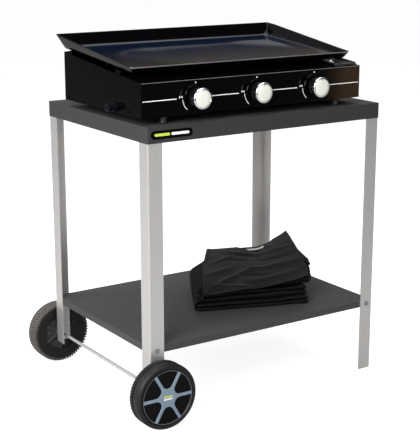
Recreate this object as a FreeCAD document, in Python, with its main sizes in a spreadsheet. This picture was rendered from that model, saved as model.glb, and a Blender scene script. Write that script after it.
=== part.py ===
"""Three-burner gas flat-top griddle standing on a two-shelf trolley with one pair of wheels.

Millimetres, +Z up, the knobs face -Y.  The origin is on the floor under the middle of the
object's outline.  Every sub-part is a document object whose Label names its STEP file.
"""
import FreeCAD, Part
import os
import re

import Sketcher

DIMENSIONS = [
    # name, value, what it is
    ("cart_x", 32.75, "middle of the trolley top from the origin"),
    ("tray_w", 720, "trolley top, left to right"),
    ("tray_d", 520, "trolley top, front to back"),
    ("tray_top", 750, "height of the trolley top"),
    ("tray_skirt", 40, "depth of the folded edge of the trolley top"),
    ("tray_sheet", 1.5, "sheet of both trolley shelves"),
    ("shelf_top", 201, "height of the lower shelf"),
    ("shelf_skirt", 18, "depth of the folded edge of the lower shelf"),
    ("leg_flange", 40, "width of each face of the angle legs"),
    ("leg_sheet", 2, "wall of the angle legs"),
    ("leg_bend", 3, "outer radius of the bend in the angle legs"),
    ("short_leg_z", 67, "lower end of the two legs that carry the axle"),
    ("bolt_r", 3, "radius of the bolts and studs"),
    ("bolt_hole_r", 3.2, "radius of their clearance holes"),
    ("bolt_head_r", 6, "radius of the pan heads"),
    ("bolt_head_h", 3, "height of the pan heads"),
    ("stud_len", 12, "length of the studs and of the shelf bolts' shanks"),
    ("nut_r", 5.8, "radius over the corners of the nuts"),
    ("nut_h", 5, "height of the nuts"),
    ("stud_z", 728, "height of the studs inside the trolley top"),
    ("shelf_bolt_z", 191, "height of the bolts that hold the lower shelf"),
    ("axle_r", 4.5, "radius of the axle rod"),
    ("axle_inset", 19.5, "axle from the left edge of the trolley top"),
    ("axle_z", 85, "height of the axle"),
    ("wheel_y", 266, "inner face of each wheel from the middle"),
    ("wheel_w", 45, "width of the tyres"),
    ("axle_end", 38, "axle beyond each wheel's inner face"),
    ("spacer_wall", 4, "wall of the spacers between legs and wheels"),
    ("side_play", 0.3, "sideways play of each wheel"),
    ("clip_t", 3, "thickness of the axle clips"),
    ("clip_wall", 5, "height of the axle clips over the axle"),
    ("tyre_r", 85, "radius of the tyres"),
    ("rim_r", 71, "radius of the wheel centres"),
    ("rim_wall", 8, "wall of the wheel centres' rim"),
    ("rim_out", 40, "outer edge of that rim from the wheel's inner face"),
    ("web_in", 16, "inner face of the web from the wheel's inner face"),
    ("web_out", 22, "outer face of the web from the wheel's inner face"),
    ("hub_wall", 9, "wall of the wheel centres' hub"),
    ("hub_out", 32, "outer end of the hub from the wheel's inner face"),
    ("web_hole_r", 9, "radius of the holes in the web"),
    ("web_hole_at", 38, "those holes from the axle"),
    ("cap_t", 3, "thickness of the wheels' outer caps"),
    ("star_r", 69, "reach of the arms of the wheel trim"),
    ("star_hub_r", 17, "radius of the trim's middle"),
    ("star_out", 46, "outer face of the trim from the wheel's inner face"),
    ("star_t", 3, "thickness of the trim"),
    ("arm_w", 8, "width of the trim's arms"),
    ("liner_r", 9, "outer radius of the bore liners"),
    ("run_gap", 0.08, "radial clearance of the parts that turn on a pin"),
    ("badge_w", 116, "length of the plain badge"),
    ("badge_h", 20, "height of the plain badge"),
    ("badge_t", 1.2, "thickness of the plain badge"),
    ("badge_inset", 10, "badge from the left corner"),
    ("griddle_x", 6.75, "middle of the griddle from the origin"),
    ("griddle_w", 670, "griddle body, left to right"),
    ("front_y", -235, "face of the control panel"),
    ("body_back_y", 156, "back of the griddle body"),
    ("body_z", 767, "underside of the griddle body"),
    ("panel_top", 851, "upper edge of the control panel"),
    ("back_top", 893, "upper edge of the back of the body"),
    ("ledge_back_y", -146, "back of the ledge behind the control panel"),
    ("body_sheet", 1.2, "sheet of the griddle body"),
    ("vent_r", 7, "radius of the vents in the back"),
    ("vent_pitch", 52, "vent to vent"),
    ("vent_up", 26, "height of the vents over the underside"),
    ("base_vent_r", 16, "radius of the air holes in the base"),
    ("base_vent_pitch", 78, "row to row of the air holes"),
    ("base_vent_y", -27, "second row of the air holes"),
    ("screw_r", 4, "radius of the heads of the body screws"),
    ("screw_h", 2, "height of those heads"),
    ("screw_up", 9, "height of those screws over the underside"),
    ("screw_front", 60, "front pair of those screws from the control panel"),
    ("screw_back", 20, "back pair of those screws from the back"),
    ("foot_r", 10, "radius of the griddle feet"),
    ("foot_x", 266, "griddle feet from its middle"),
    ("foot_inset", 14, "griddle feet from the front and back of the body"),
    ("foot_edge", 1.5, "bevel at the bottom of the griddle feet"),
    ("knob_pitch", 182, "knob to knob"),
    ("knob_z", 807, "height of the knob spindles"),
    ("knob_push", 4, "travel of a pushed knob"),
    ("knob_r", 26, "radius of a knob"),
    ("knob_near", 6, "inner end of a knob from the control panel"),
    ("knob_far", 27, "outer end of a knob's grip from the control panel"),
    ("knob_face_t", 8, "thickness of a knob's face"),
    ("stem_r", 4, "radius of a valve stem"),
    ("stem_out", 23, "valve stem outside the control panel"),
    ("stem_in", 29, "valve stem inside the control panel"),
    ("stem_hole_gap", 3, "clearance of the stems in the panel and the rings"),
    ("collar_r", 7.5, "radius of the collar that turns the tap"),
    ("collar_at", 9, "that collar behind the control panel's face"),
    ("collar_t", 4, "thickness of that collar"),
    ("bezel_r", 32, "radius of the rings behind the knobs"),
    ("bezel_t", 1.5, "thickness of those rings"),
    ("valve_w", 26, "width of a gas valve"),
    ("valve_near", 7, "front of a gas valve behind the control panel's face"),
    ("valve_far", 45, "back of a gas valve behind the control panel's face"),
    ("valve_up", 13, "top of a gas valve over its stem"),
    ("valve_bore_r", 8, "radius of the room for the collar"),
    ("valve_bore", 14, "depth of that room"),
    ("stem_bore", 30, "depth of the bore for the stem"),
    ("injector_r", 3.5, "radius of an injector"),
    ("injector_len", 14, "length of an injector"),
    ("manifold_y", -208, "gas rail, front to back"),
    ("manifold_z", 780, "height of the gas rail and of the inlet"),
    ("manifold_r", 8, "radius of the gas rail"),
    ("rail_in", 34, "left end of the gas rail from the side panel"),
    ("rail_past", 20, "gas rail beyond the last valve"),
    ("pipe_wall", 2, "wall of the gas rail and its fittings"),
    ("elbow_wall", 1, "wall of the cast corner blocks over the gas rail"),
    ("inlet_y", -110, "gas inlet, front to back"),
    ("inlet_r", 9.9, "radius of the threaded inlet"),
    ("inlet_len", 16, "length of the threaded inlet outside its lock nut"),
    ("inlet_bore_r", 4, "radius of the inlet's bore"),
    ("inlet_in", 6, "inlet inside the side panel"),
    ("lock_nut_r", 12, "radius of the inlet's lock nut"),
    ("lock_nut_t", 8, "thickness of the inlet's lock nut"),
    ("burner_r", 12, "radius of a burner tube"),
    ("burner_front_y", -182, "open end of the burner tubes"),
    ("burner_back_y", 128, "closed end of the burner tubes"),
    ("burner_wall", 1.2, "wall of a burner tube"),
    ("bracket_w", 22, "width of a burner's back bracket"),
    ("bracket_t", 2, "sheet of the burner brackets and the burner rail"),
    ("bracket_in", 12, "back brackets from the closed ends of the burners"),
    ("burner_rail_in", 16, "burner rail from the open ends of the burners"),
    ("burner_rail_past", 30, "burner rail beyond the outer burners"),
    ("plate_y", -185, "front edge of the cooking plate's floor"),
    ("plate_z", 866, "underside of the cooking plate at that edge"),
    ("plate_w", 654, "floor of the cooking plate, left to right"),
    ("plate_d", 360, "floor of the cooking plate, along its slope"),
    ("plate_tilt", 5.2, "slope of the cooking plate in degrees"),
    ("rim_tilt", 2.7, "slope of the rim over the floor in degrees"),
    ("rim_h", 38, "height of the rim at the back"),
    ("lip_h", 18, "height of the lip at the front"),
    ("flare", 18, "how far the rim leans out over its full height"),
    ("plate_floor", 3, "floor of the cooking plate"),
    ("plate_wall", 2.6, "walls of the cooking plate"),
    ("rest_near", 50, "front rests of the plate, up its slope"),
    ("rest_far", 300, "back rests of the plate, up its slope"),
    ("rest_len", 22, "length of a rest"),
    ("rest_h", 42, "height of a rest"),
    ("rest_reach", 18, "reach of a rest under the plate"),
    ("rest_t", 2, "sheet of the rests"),
    ("corner_r", 14, "corner radius of the cooking plate"),
    ("drain_r", 13, "radius of the drain hole"),
    ("drain_x", 292, "drain hole from the middle of the griddle"),
    ("drain_in", 21, "drain hole from the front edge of the floor"),
    ("cup_w", 70, "grease tray, left to right"),
    ("cup_d", 76, "grease tray, front to back"),
    ("cup_h", 7.5, "height of the grease tray"),
    ("cup_wall", 1.2, "walls of the grease tray"),
    ("cup_lift", 0.05, "running gap under the grease tray"),
    ("cup_in", 9, "grease tray behind the control panel's face"),
    ("cup_tab_d", 8, "length of the grease tray's pull tab"),
    ("cup_tab_in", 20, "pull tab from the ends of the grease tray"),
    ("cup_tab_t", 1.5, "thickness of the pull tab"),
    ("guide_t", 2, "sheet of the grease tray's guides"),
    ("guide_h", 5, "height of the grease tray's guides"),
    ("guide_gap", 0.3, "clearance of the grease tray between its guides"),
    ("cover_x", -66.5, "near left corner of the folded cover"),
    ("cover_y", -85, "the same corner, front to back"),
    ("cover_w", 305, "length of the folded cover"),
    ("cover_d", 235, "depth of the folded cover"),
    ("cover_h", 138, "height of the folded cover at its back"),
    ("cover_front_h", 58, "height of the folded cover at its front"),
    ("cover_skew", 50, "how far its back edge lies to the right of its front edge"),
    ("cover_turn", -20, "how far the folded cover is turned, degrees"),
    ("cover_gap", 0.5, "clearance under the folded cover"),
]

doc = FreeCAD.newDocument("griddle_trolley")
sheet = doc.addObject("Spreadsheet::Sheet", "Dims")
sheet.Label = "driving dimensions"
for row, (alias, number, note) in enumerate(DIMENSIONS, start=1):
    sheet.set(f"A{row}", note)
    sheet.set(f"B{row}", str(number))
    sheet.setAlias(f"B{row}", alias)
doc.recompute()

ALIASES = re.compile(r"\b(" + "|".join(row[0] for row in DIMENSIONS) + r")\b")
TURN_TO = {  # rotation that lays a cylinder's own axis along X, Y or Z
    "X": FreeCAD.Rotation(FreeCAD.Vector(0, 1, 0), 90),
    "Y": FreeCAD.Rotation(FreeCAD.Vector(1, 0, 0), -90),
    "Z": FreeCAD.Rotation(),
}
parts = []


def linked(expression):
    """The expression with each driving dimension read from the sheet."""
    return ALIASES.sub(r"Dims.\1", str(expression))


def value(expression):
    """The number an expression has now."""
    return float(sheet.evalExpression(linked(expression)))


def bind(obj, **properties):
    """Tie properties of an object to expressions."""
    for name, expression in properties.items():
        obj.setExpression(name, linked(expression))


def place(obj, at, tilt=None, turn=None):
    """Put an object at a point, tilted about X or turned about Z by so many degrees."""
    if tilt is not None:
        obj.Placement.Rotation = FreeCAD.Rotation(FreeCAD.Vector(1, 0, 0), 1)
    if turn is not None:
        obj.Placement.Rotation = FreeCAD.Rotation(FreeCAD.Vector(0, 0, 1), 1)
    angle = tilt if tilt is not None else turn
    if angle is not None:
        obj.setExpression("Placement.Rotation.Angle", linked(angle))
    for axis, expression in zip("xyz", at):
        obj.setExpression(f"Placement.Base.{axis}", linked(expression))
    return obj


def part(obj, label):
    """Mark an object as a sub-part; the label names its file."""
    obj.Label = label
    parts.append(obj)
    return obj


def block(at, size, tilt=None):
    """Rectangular block with one corner at a point."""
    obj = doc.addObject("Part::Box", "block")
    bind(obj, Length=size[0], Width=size[1], Height=size[2])
    return place(obj, at, tilt)


def rod(at, radius, length, axis):
    """Cylinder from a point along +X, +Y or +Z."""
    obj = doc.addObject("Part::Cylinder", "rod")
    bind(obj, Radius=radius, Height=length)
    obj.Placement.Rotation = TURN_TO[axis]
    for key, expression in zip("xyz", at):
        obj.setExpression(f"Placement.Base.{key}", linked(expression))
    return obj


def fuse(*items):
    """One solid made of several."""
    obj = doc.addObject("Part::MultiFuse", "fused")
    obj.Shapes = list(items)
    return obj


def group(*items):
    """Several separate solids kept in one object."""
    obj = doc.addObject("Part::Compound", "group")
    obj.Links = list(items)
    return obj


def cut(base, tool):
    """The base with the tool's volume removed."""
    obj = doc.addObject("Part::Cut", "cut")
    obj.Base = base
    obj.Tool = tool
    return obj


def draw(body, role, name, outline, circles=()):
    """Sketch on an origin plane: one closed outline and any number of circles."""
    sketch = body.newObject("Sketcher::SketchObject", name)
    plane = [item for item in body.Origin.OriginFeatures if item.Role == role][0]
    sketch.AttachmentSupport = [(plane, "")]
    sketch.MapMode = "FlatFace"
    corners = [(value(x), value(y)) for x, y in outline]
    count = len(corners)
    for i, (x, y) in enumerate(corners):
        nx, ny = corners[(i + 1) % count]
        sketch.addGeometry(
            Part.LineSegment(FreeCAD.Vector(x, y, 0), FreeCAD.Vector(nx, ny, 0)), False
        )
    for i in range(count):
        sketch.addConstraint(Sketcher.Constraint("Coincident", i, 2, (i + 1) % count, 1))
    for i, point in enumerate(outline):
        pin(sketch, i, 1, point, f"p{i}")
    for i, (x, y, radius) in enumerate(circles):
        centre = FreeCAD.Vector(value(x), value(y), 0)
        edge = sketch.addGeometry(
            Part.Circle(centre, FreeCAD.Vector(0, 0, 1), value(radius)), False
        )
        pin(sketch, edge, 3, (x, y), f"c{i}")
        at = sketch.addConstraint(Sketcher.Constraint("Radius", edge, value(radius)))
        sketch.renameConstraint(at, f"c{i}r")
        sketch.setExpression(f"Constraints.c{i}r", linked(radius))
    return sketch


def pin(sketch, edge, end, point, name):
    """Fix one sketch point by its two distances from the sketch origin."""
    for kind, expression in zip(("DistanceX", "DistanceY"), point):
        at = sketch.addConstraint(
            Sketcher.Constraint(kind, -1, 1, edge, end, value(expression))
        )
        tag = name + kind[-1].lower()
        sketch.renameConstraint(at, tag)
        sketch.setExpression(f"Constraints.{tag}", linked(expression))


def prism(role, outline, length, at, circles=(), tilt=None, turn=None):
    """Body padded from an outline drawn on one of its origin planes."""
    body = doc.addObject("PartDesign::Body", "body")
    sketch = draw(body, role, "outline", outline, circles)
    doc.recompute()
    pad = body.newObject("PartDesign::Pad", "pad")
    pad.Profile = sketch
    bind(pad, Length=length)
    return place(body, at, tilt, turn)


def turned(outline, at, axis="V_Axis", role="XY_Plane", turn=None):
    """Body of revolution; V_Axis spins about the plane's second direction."""
    body = doc.addObject("PartDesign::Body", "body")
    sketch = draw(body, role, "half_section", outline)
    doc.recompute()
    spun = body.newObject("PartDesign::Revolution", "spun")
    spun.Profile = sketch
    spun.ReferenceAxis = (sketch, [axis])
    spun.Angle = 360
    return place(body, at, turn=turn)


def rounded(base, radius, wanted):
    """The base with the edges that pass a test rounded."""
    doc.recompute()
    obj = doc.addObject("Part::Fillet", "rounded")
    obj.Base = base
    size = value(radius)
    picked = [i for i, edge in enumerate(base.Shape.Edges, start=1) if wanted(edge)]
    obj.Edges = [(i, size, size) for i in picked]
    return obj


def along(edge):
    """Unit direction of a straight edge, each component without its sign."""
    step = edge.Vertexes[-1].Point - edge.Vertexes[0].Point
    step.normalize()
    return abs(step.x), abs(step.y), abs(step.z)


def upright(edge):
    return along(edge)[2] > 0.8


# ---------------------------------------------------------------- trolley shelves and legs
SIDES = {"left": -1, "right": 1}
ENDS = {"front": -1, "back": 1}
IN_X = "(tray_w / 2 - tray_sheet)"       # inside of the trolley top's folded edge
IN_Y = "(tray_d / 2 - tray_sheet)"
HALF_FLANGE = "leg_flange / 2"
STUD_HOLE = "2 * leg_sheet"               # drilled from the outer face, past the flange
BOLT_HOLE = "2 * leg_sheet + 2"           # past the flange and the shelf's folded edge


def folded_shelf(half_x, half_y, top, skirt):
    """Sheet with its four edges folded down and the corners slightly rounded."""
    outer = block(
        (f"cart_x - {half_x}", f"-{half_y}", f"{top} - {skirt}"),
        (f"2 * {half_x}", f"2 * {half_y}", skirt),
    )
    inner = block(
        (f"cart_x - {half_x} + tray_sheet", f"-{half_y} + tray_sheet", f"{top} - {skirt}"),
        (f"2 * {half_x} - 2 * tray_sheet", f"2 * {half_y} - 2 * tray_sheet",
         f"{skirt} - tray_sheet"),
    )
    return cut(rounded(outer, "2 * tray_sheet", upright), rounded(inner, "tray_sheet", upright))


def leg(side, end):
    """Angle leg with its outer corner outwards; the left pair ends above the floor."""
    sx, sy = SIDES[side], ENDS[end]
    foot = "short_leg_z" if side == "left" else "0"
    outline = [("0", "0"), (f"{-sx} * leg_flange", "0"),
               (f"{-sx} * leg_flange", f"{-sy} * leg_sheet"),
               (f"{-sx} * leg_sheet", f"{-sy} * leg_sheet"),
               (f"{-sx} * leg_sheet", f"{-sy} * leg_flange"), ("0", f"{-sy} * leg_flange")]
    at = (f"cart_x + {sx} * {IN_X}", f"{sy} * {IN_Y}", foot)
    angle = prism("XY_Plane", outline, f"tray_top - tray_sheet - {foot}", at)
    outer_x, outer_y = value(at[0]), value(at[1])

    def outer_bend(edge):
        point = edge.Vertexes[0].Point
        return upright(edge) and abs(point.x - outer_x) + abs(point.y - outer_y) < 0.01

    return rounded(angle, "leg_bend", outer_bend)


studs = []
bolts = []
nut_blanks = []
holes = []


def hex_nut(at, axis):
    obj = doc.addObject("Part::Prism", "nut")
    obj.Polygon = 6
    bind(obj, Circumradius="nut_r", Height="nut_h")
    obj.Placement.Rotation = TURN_TO[axis]
    for key, expression in zip("xyz", at):
        obj.setExpression(f"Placement.Base.{key}", linked(expression))
    nut_blanks.append(obj)


def span(sign, near, length):
    """Lower end of a length that runs inwards from a face on the + or - side."""
    return f"-({near})" if sign < 0 else f"{near} - ({length})"


for side, sx in SIDES.items():
    for end, sy in ENDS.items():
        flange_x = f"cart_x + {sx} * ({IN_X} - {HALF_FLANGE})"
        flange_y = f"{sy} * ({IN_Y} - {HALF_FLANGE})"
        # stud through the flange that faces front or back
        stud_at = span(sy, IN_Y, "stud_len")
        studs.append(rod((flange_x, stud_at, "stud_z"), "bolt_r", "stud_len", "Y"))
        hole_at = span(sy, IN_Y, STUD_HOLE)
        holes.append(rod((flange_x, hole_at, "stud_z"), "bolt_hole_r", STUD_HOLE, "Y"))
        nut_near = f"{IN_Y} - leg_sheet"
        hex_nut((flange_x, span(sy, nut_near, "nut_h"), "stud_z"), "Y")
        # stud through the flange that faces the side
        stud_at = "cart_x + " + span(sx, IN_X, "stud_len")
        studs.append(rod((stud_at, flange_y, "stud_z"), "bolt_r", "stud_len", "X"))
        hole_at = "cart_x + " + span(sx, IN_X, STUD_HOLE)
        holes.append(rod((hole_at, flange_y, "stud_z"), "bolt_hole_r", STUD_HOLE, "X"))
        nut_at = "cart_x + " + span(sx, f"{IN_X} - leg_sheet", "nut_h")
        hex_nut((nut_at, flange_y, "stud_z"), "X")
        # bolt through the leg and the folded edge of the lower shelf
        head = rod(
            (flange_x, span(sy, f"{IN_Y} + bolt_head_h", "bolt_head_h"), "shelf_bolt_z"),
            "bolt_head_r", "bolt_head_h", "Y",
        )
        shank_at = span(sy, IN_Y, "stud_len")
        shank = rod((flange_x, shank_at, "shelf_bolt_z"), "bolt_r", "stud_len", "Y")
        bolts.append(fuse(head, shank))
        hole_at = span(sy, IN_Y, BOLT_HOLE)
        holes.append(rod((flange_x, hole_at, "shelf_bolt_z"), "bolt_hole_r", BOLT_HOLE, "Y"))
        nut_near = f"{IN_Y} - leg_sheet - tray_sheet"
        hex_nut((flange_x, span(sy, nut_near, "nut_h"), "shelf_bolt_z"), "Y")

AXLE_X = "cart_x - tray_w / 2 + axle_inset"
AXLE_HALF = "wheel_y + axle_end"
axle = turned(
    [("0", f"-({AXLE_HALF})"), ("axle_r", f"-({AXLE_HALF})"), ("axle_r", AXLE_HALF),
     ("0", AXLE_HALF)],
    (AXLE_X, "0", "axle_z"),
)
holes.append(rod((AXLE_X, f"-{IN_Y}", "axle_z"), "axle_r", f"2 * {IN_Y}", "Y"))
all_holes = group(*holes)

part(folded_shelf("(tray_w / 2)", "(tray_d / 2)", "tray_top", "tray_skirt"), "top_tray")
shelf = folded_shelf(
    f"({IN_X} - leg_sheet)", f"({IN_Y} - leg_sheet)", "shelf_top", "shelf_skirt"
)
part(cut(shelf, all_holes), "lower_shelf")
for side in SIDES:
    for end in ENDS:
        part(cut(leg(side, end), all_holes), f"leg_{end}_{side}")
part(group(*studs), "tray_studs")
part(group(*bolts), "shelf_bolts")
part(cut(group(*nut_blanks), group(*studs, *bolts)), "nuts")
part(axle, "axle")

badge = prism(
    "XZ_Plane",
    [("0", "-badge_h / 2"), ("badge_w", "-badge_h / 2"), ("badge_w", "badge_h / 2"),
     ("0", "badge_h / 2")],
    "badge_t",
    ("cart_x - tray_w / 2 + badge_inset", "-tray_d / 2", "tray_top - tray_skirt / 2"),
)
part(rounded(badge, "0.45 * badge_h", lambda edge: along(edge)[1] > 0.9), "badge_plate")

# ---------------------------------------------------------------- axle fittings and wheels
SPACER = f"wheel_y - {IN_Y} - side_play"
spacers = []
clips = []
for sy in ENDS.values():
    spacer_at = span(sy, "wheel_y - side_play", SPACER)
    tube = rod((AXLE_X, spacer_at, "axle_z"), "axle_r + spacer_wall", SPACER, "Y")
    spacers.append(cut(tube, axle))
    clip_at = span(sy, "wheel_y + hub_out + side_play + clip_t", "clip_t")
    clip = rod((AXLE_X, clip_at, "axle_z"), "axle_r + clip_wall", "clip_t", "Y")
    clips.append(cut(clip, axle))
part(group(*spacers), "axle_spacers")
part(group(*clips), "axle_clips")

SPOKES = 6
for end, sy in ENDS.items():
    # the half-sections run outwards from the wheel's inner face
    seat = (AXLE_X, f"{sy} * wheel_y", "axle_z")
    facing = "0" if sy > 0 else "180"
    tyre = [("rim_r", "3"), ("tyre_r - 6", "0"), ("tyre_r - 2", "3"), ("tyre_r", "8"),
            ("tyre_r", "wheel_w - 8"), ("tyre_r - 2", "wheel_w - 3"), ("tyre_r - 6", "wheel_w"),
            ("rim_r", "wheel_w - 3")]
    part(turned(tyre, seat, turn=facing), f"tyre_{end}")
    hub, inner_rim = "liner_r + hub_wall", "rim_r - rim_wall"
    centre = [("liner_r", "0"), (hub, "0"), (hub, "web_in"), (inner_rim, "web_in"),
              (inner_rim, "3"), ("rim_r", "3"), ("rim_r", "rim_out"), (inner_rim, "rim_out"),
              (inner_rim, "web_out"), (hub, "web_out"), (hub, "hub_out"), ("liner_r", "hub_out")]
    web_holes = []
    for k in range(SPOKES):
        angle = f"({k} * 60 + 30) * 1 deg"
        hole_x = f"{AXLE_X} + web_hole_at * cos({angle})"
        hole_z = f"axle_z + web_hole_at * sin({angle})"
        hole_y = f"{sy} * (wheel_y + (web_in + web_out) / 2) - (web_out - web_in)"
        web_holes.append(rod((hole_x, hole_y, hole_z), "web_hole_r", "2 * (web_out - web_in)", "Y"))
    part(cut(turned(centre, seat, turn=facing), group(*web_holes)), f"wheel_centre_{end}")
    liner = [("axle_r + run_gap", "0"), ("liner_r", "0"), ("liner_r", "hub_out"),
             ("axle_r + run_gap", "hub_out")]
    part(turned(liner, seat, turn=facing), f"bore_liner_{end}")
    cap = [("0", "rim_out"), ("rim_r - 0.3", "rim_out"), ("rim_r - 0.3", "rim_out + cap_t - 1"),
           ("rim_r - 1.3", "rim_out + cap_t"), ("0", "rim_out + cap_t")]
    part(turned(cap, seat, turn=facing), f"hub_cap_{end}")
    # six-armed trim on the cap
    trim_at = span(sy, "wheel_y + star_out", "star_t")
    arms = [rod((AXLE_X, trim_at, "axle_z"), "star_hub_r", "star_t", "Y")]
    for k in range(SPOKES // 2):
        arm = doc.addObject("Part::Box", "arm")
        bind(arm, Length="2 * star_r", Width="star_t", Height="arm_w")
        arm.Placement.Rotation = FreeCAD.Rotation(FreeCAD.Vector(0, 1, 0), 60 * k)
        turn_by = f"({60 * k}) * 1 deg"
        bind(arm, **{
            "Placement.Base.x":
                f"{AXLE_X} - star_r * cos({turn_by}) - arm_w / 2 * sin({turn_by})",
            "Placement.Base.y": trim_at,
            "Placement.Base.z":
                f"axle_z + star_r * sin({turn_by}) - arm_w / 2 * cos({turn_by})",
        })
        arms.append(arm)
    part(fuse(*arms), f"hub_star_{end}")

# ---------------------------------------------------------------- griddle body
HALF_W = "griddle_w / 2"
RISE = "((back_top - panel_top) / (body_back_y - front_y))"
LEDGE_DEG = f"atan({RISE})"


def top_line(y):
    """Height of the sloping upper edge of the body at a distance from front to back."""
    return f"panel_top + {RISE} * ({y} - front_y)"


FRONT_IN = "front_y + body_sheet"
BACK_IN = "body_back_y - body_sheet"
KNOB_XS = ["-knob_pitch", "0", "knob_pitch"]

panel = prism(
    "YZ_Plane",
    [("front_y", "body_z"), ("front_y", "panel_top"), ("ledge_back_y", top_line("ledge_back_y")),
     ("ledge_back_y", top_line("ledge_back_y") + " - body_sheet"),
     (FRONT_IN, top_line(FRONT_IN) + " - body_sheet"), (FRONT_IN, "body_z")],
    "griddle_w",
    (f"griddle_x - {HALF_W}", "0", "0"),
)
panel_holes = [rod((f"griddle_x + {x}", "front_y - 5", "knob_z"),
                   "stem_r + stem_hole_gap", "10", "Y")
               for x in KNOB_XS]
part(cut(panel, group(*panel_holes)), "front_panel")

side_outline = [
    (FRONT_IN, "body_z"), (BACK_IN, "body_z"), (BACK_IN, top_line(BACK_IN) + " - body_sheet"),
    (FRONT_IN, top_line(FRONT_IN) + " - body_sheet"),
]
left_at = (f"griddle_x - {HALF_W}", "0", "0")
right_at = (f"griddle_x + {HALF_W} - body_sheet", "0", "0")
inlet_hole = [("inlet_y", "manifold_z", "inlet_r + 0.3")]
part(prism("YZ_Plane", side_outline, "body_sheet", left_at, inlet_hole), "side_panel_left")
part(prism("YZ_Plane", side_outline, "body_sheet", right_at), "side_panel_right")

VENTS = [(f"{k} * vent_pitch", "body_z + vent_up", "vent_r") for k in range(-5, 6)]
back_top_z = top_line("body_back_y") + " - body_sheet"
part(
    prism(
        "XZ_Plane",
        [(f"-{HALF_W}", "body_z"), (HALF_W, "body_z"), (HALF_W, back_top_z),
         (f"-{HALF_W}", back_top_z)],
        "body_sheet", ("griddle_x", "body_back_y", "0"), VENTS,
    ),
    "back_panel",
)
BASE_X = f"{HALF_W} - body_sheet"
base_vents = [(f"{kx} * knob_pitch / 2", f"{ky} * base_vent_pitch + base_vent_y", "base_vent_r")
              for kx in range(-3, 4) for ky in (-1, 0, 1, 2) if kx % 2]
part(
    prism(
        "XY_Plane",
        [(f"-({BASE_X})", FRONT_IN), (BASE_X, FRONT_IN), (BASE_X, BACK_IN),
         (f"-({BASE_X})", BACK_IN)],
        "body_sheet", ("griddle_x", "0", "body_z"), base_vents,
    ),
    "base_pan",
)

feet = []
for sx in SIDES.values():
    for foot_y in ("front_y + foot_inset", "body_back_y - foot_inset"):
        feet.append(
            turned(
                [("0", "0"), ("foot_r - foot_edge", "0"), ("foot_r", "foot_edge"),
                 ("foot_r - 1", "body_z - tray_top"), ("0", "body_z - tray_top")],
                (f"griddle_x + {sx} * foot_x", foot_y, "tray_top"), role="XZ_Plane",
            )
        )
part(group(*feet), "griddle_feet")

# ---------------------------------------------------------------- cooking plate
TILT = "(plate_tilt * 1 deg)"
LEAN = "(flare / rim_h)"


def on_plate(along_slope, above="0"):
    """Front-to-back position and height of a point in the plate's sloping frame."""
    return (f"plate_y + ({along_slope}) * cos{TILT} - ({above}) * sin{TILT}",
            f"plate_z + ({along_slope}) * sin{TILT} + ({above}) * cos{TILT}")


def pan_block(low, high, inset):
    """Tapered block between two heights over the floor, its faces inset from the outside."""
    wedge = doc.addObject("Part::Wedge", "taper")
    half = f"plate_w / 2 - {inset}"
    bind(
        wedge, Ymin=low, Ymax=high,
        Xmin=f"-({half} + {LEAN} * ({low}))", Xmax=f"{half} + {LEAN} * ({low})",
        Zmin=f"{inset} - {LEAN} * ({low})", Zmax=f"plate_d - {inset} + {LEAN} * ({low})",
        X2min=f"-({half} + {LEAN} * ({high}))", X2max=f"{half} + {LEAN} * ({high})",
        Z2min=f"{inset} - {LEAN} * ({high})", Z2max=f"plate_d - {inset} + {LEAN} * ({high})",
    )
    y, z = on_plate("plate_d")
    return place(wedge, ("griddle_x", y, z), tilt="90 + plate_tilt")


def corner(edge):
    return along(edge)[0] > 0.2 and along(edge)[2] > 0.5


pan = cut(
    rounded(pan_block("0", "rim_h", "0"), "corner_r", corner),
    rounded(pan_block("plate_floor", "rim_h + 2", "plate_wall"), "corner_r - plate_wall", corner),
)
over_y, over_z = on_plate("-30", "lip_h - 1.1")
above_rim = block(("griddle_x - 400", over_y, over_z), ("800", "500", "80"),
                  tilt="plate_tilt + rim_tilt")
drain_y, drain_z = on_plate("drain_in", "-5")
drain = doc.addObject("Part::Cylinder", "drain")
bind(drain, Radius="drain_r", Height="20")
place(drain, ("griddle_x + drain_x", drain_y, drain_z), tilt="plate_tilt")
part(cut(pan, group(above_rim, drain)), "hot_plate")

rests = []
for sx in SIDES.values():
    for at_slope in ("rest_near", "rest_far"):
        wall_x = f"griddle_x + {sx} * ({HALF_W} - body_sheet)"
        flange_x = wall_x + (" - rest_t" if sx > 0 else "")
        tab_x = wall_x + (" - rest_reach" if sx > 0 else "")
        low_y, low_z = on_plate(at_slope, "-rest_h")
        tab_y, tab_z = on_plate(at_slope, "-rest_t")
        flange_size = ("rest_t", "rest_len", "rest_h")
        tab_size = ("rest_reach", "rest_len", "rest_t")
        rests.append(
            fuse(
                block((flange_x, low_y, low_z), flange_size, tilt="plate_tilt"),
                block((tab_x, tab_y, tab_z), tab_size, tilt="plate_tilt"),
            )
        )
part(group(*rests), "plate_rests")

# ---------------------------------------------------------------- grease tray on the ledge
CUP_LEFT = "griddle_x + drain_x - cup_w / 2"
CUP_FRONT = "front_y + cup_in"


def on_ledge(y, above):
    """Point above the sloping ledge."""
    return (f"{y} - ({above}) * sin({LEDGE_DEG})",
            f"{top_line(y)} + ({above}) * cos({LEDGE_DEG})")


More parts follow.
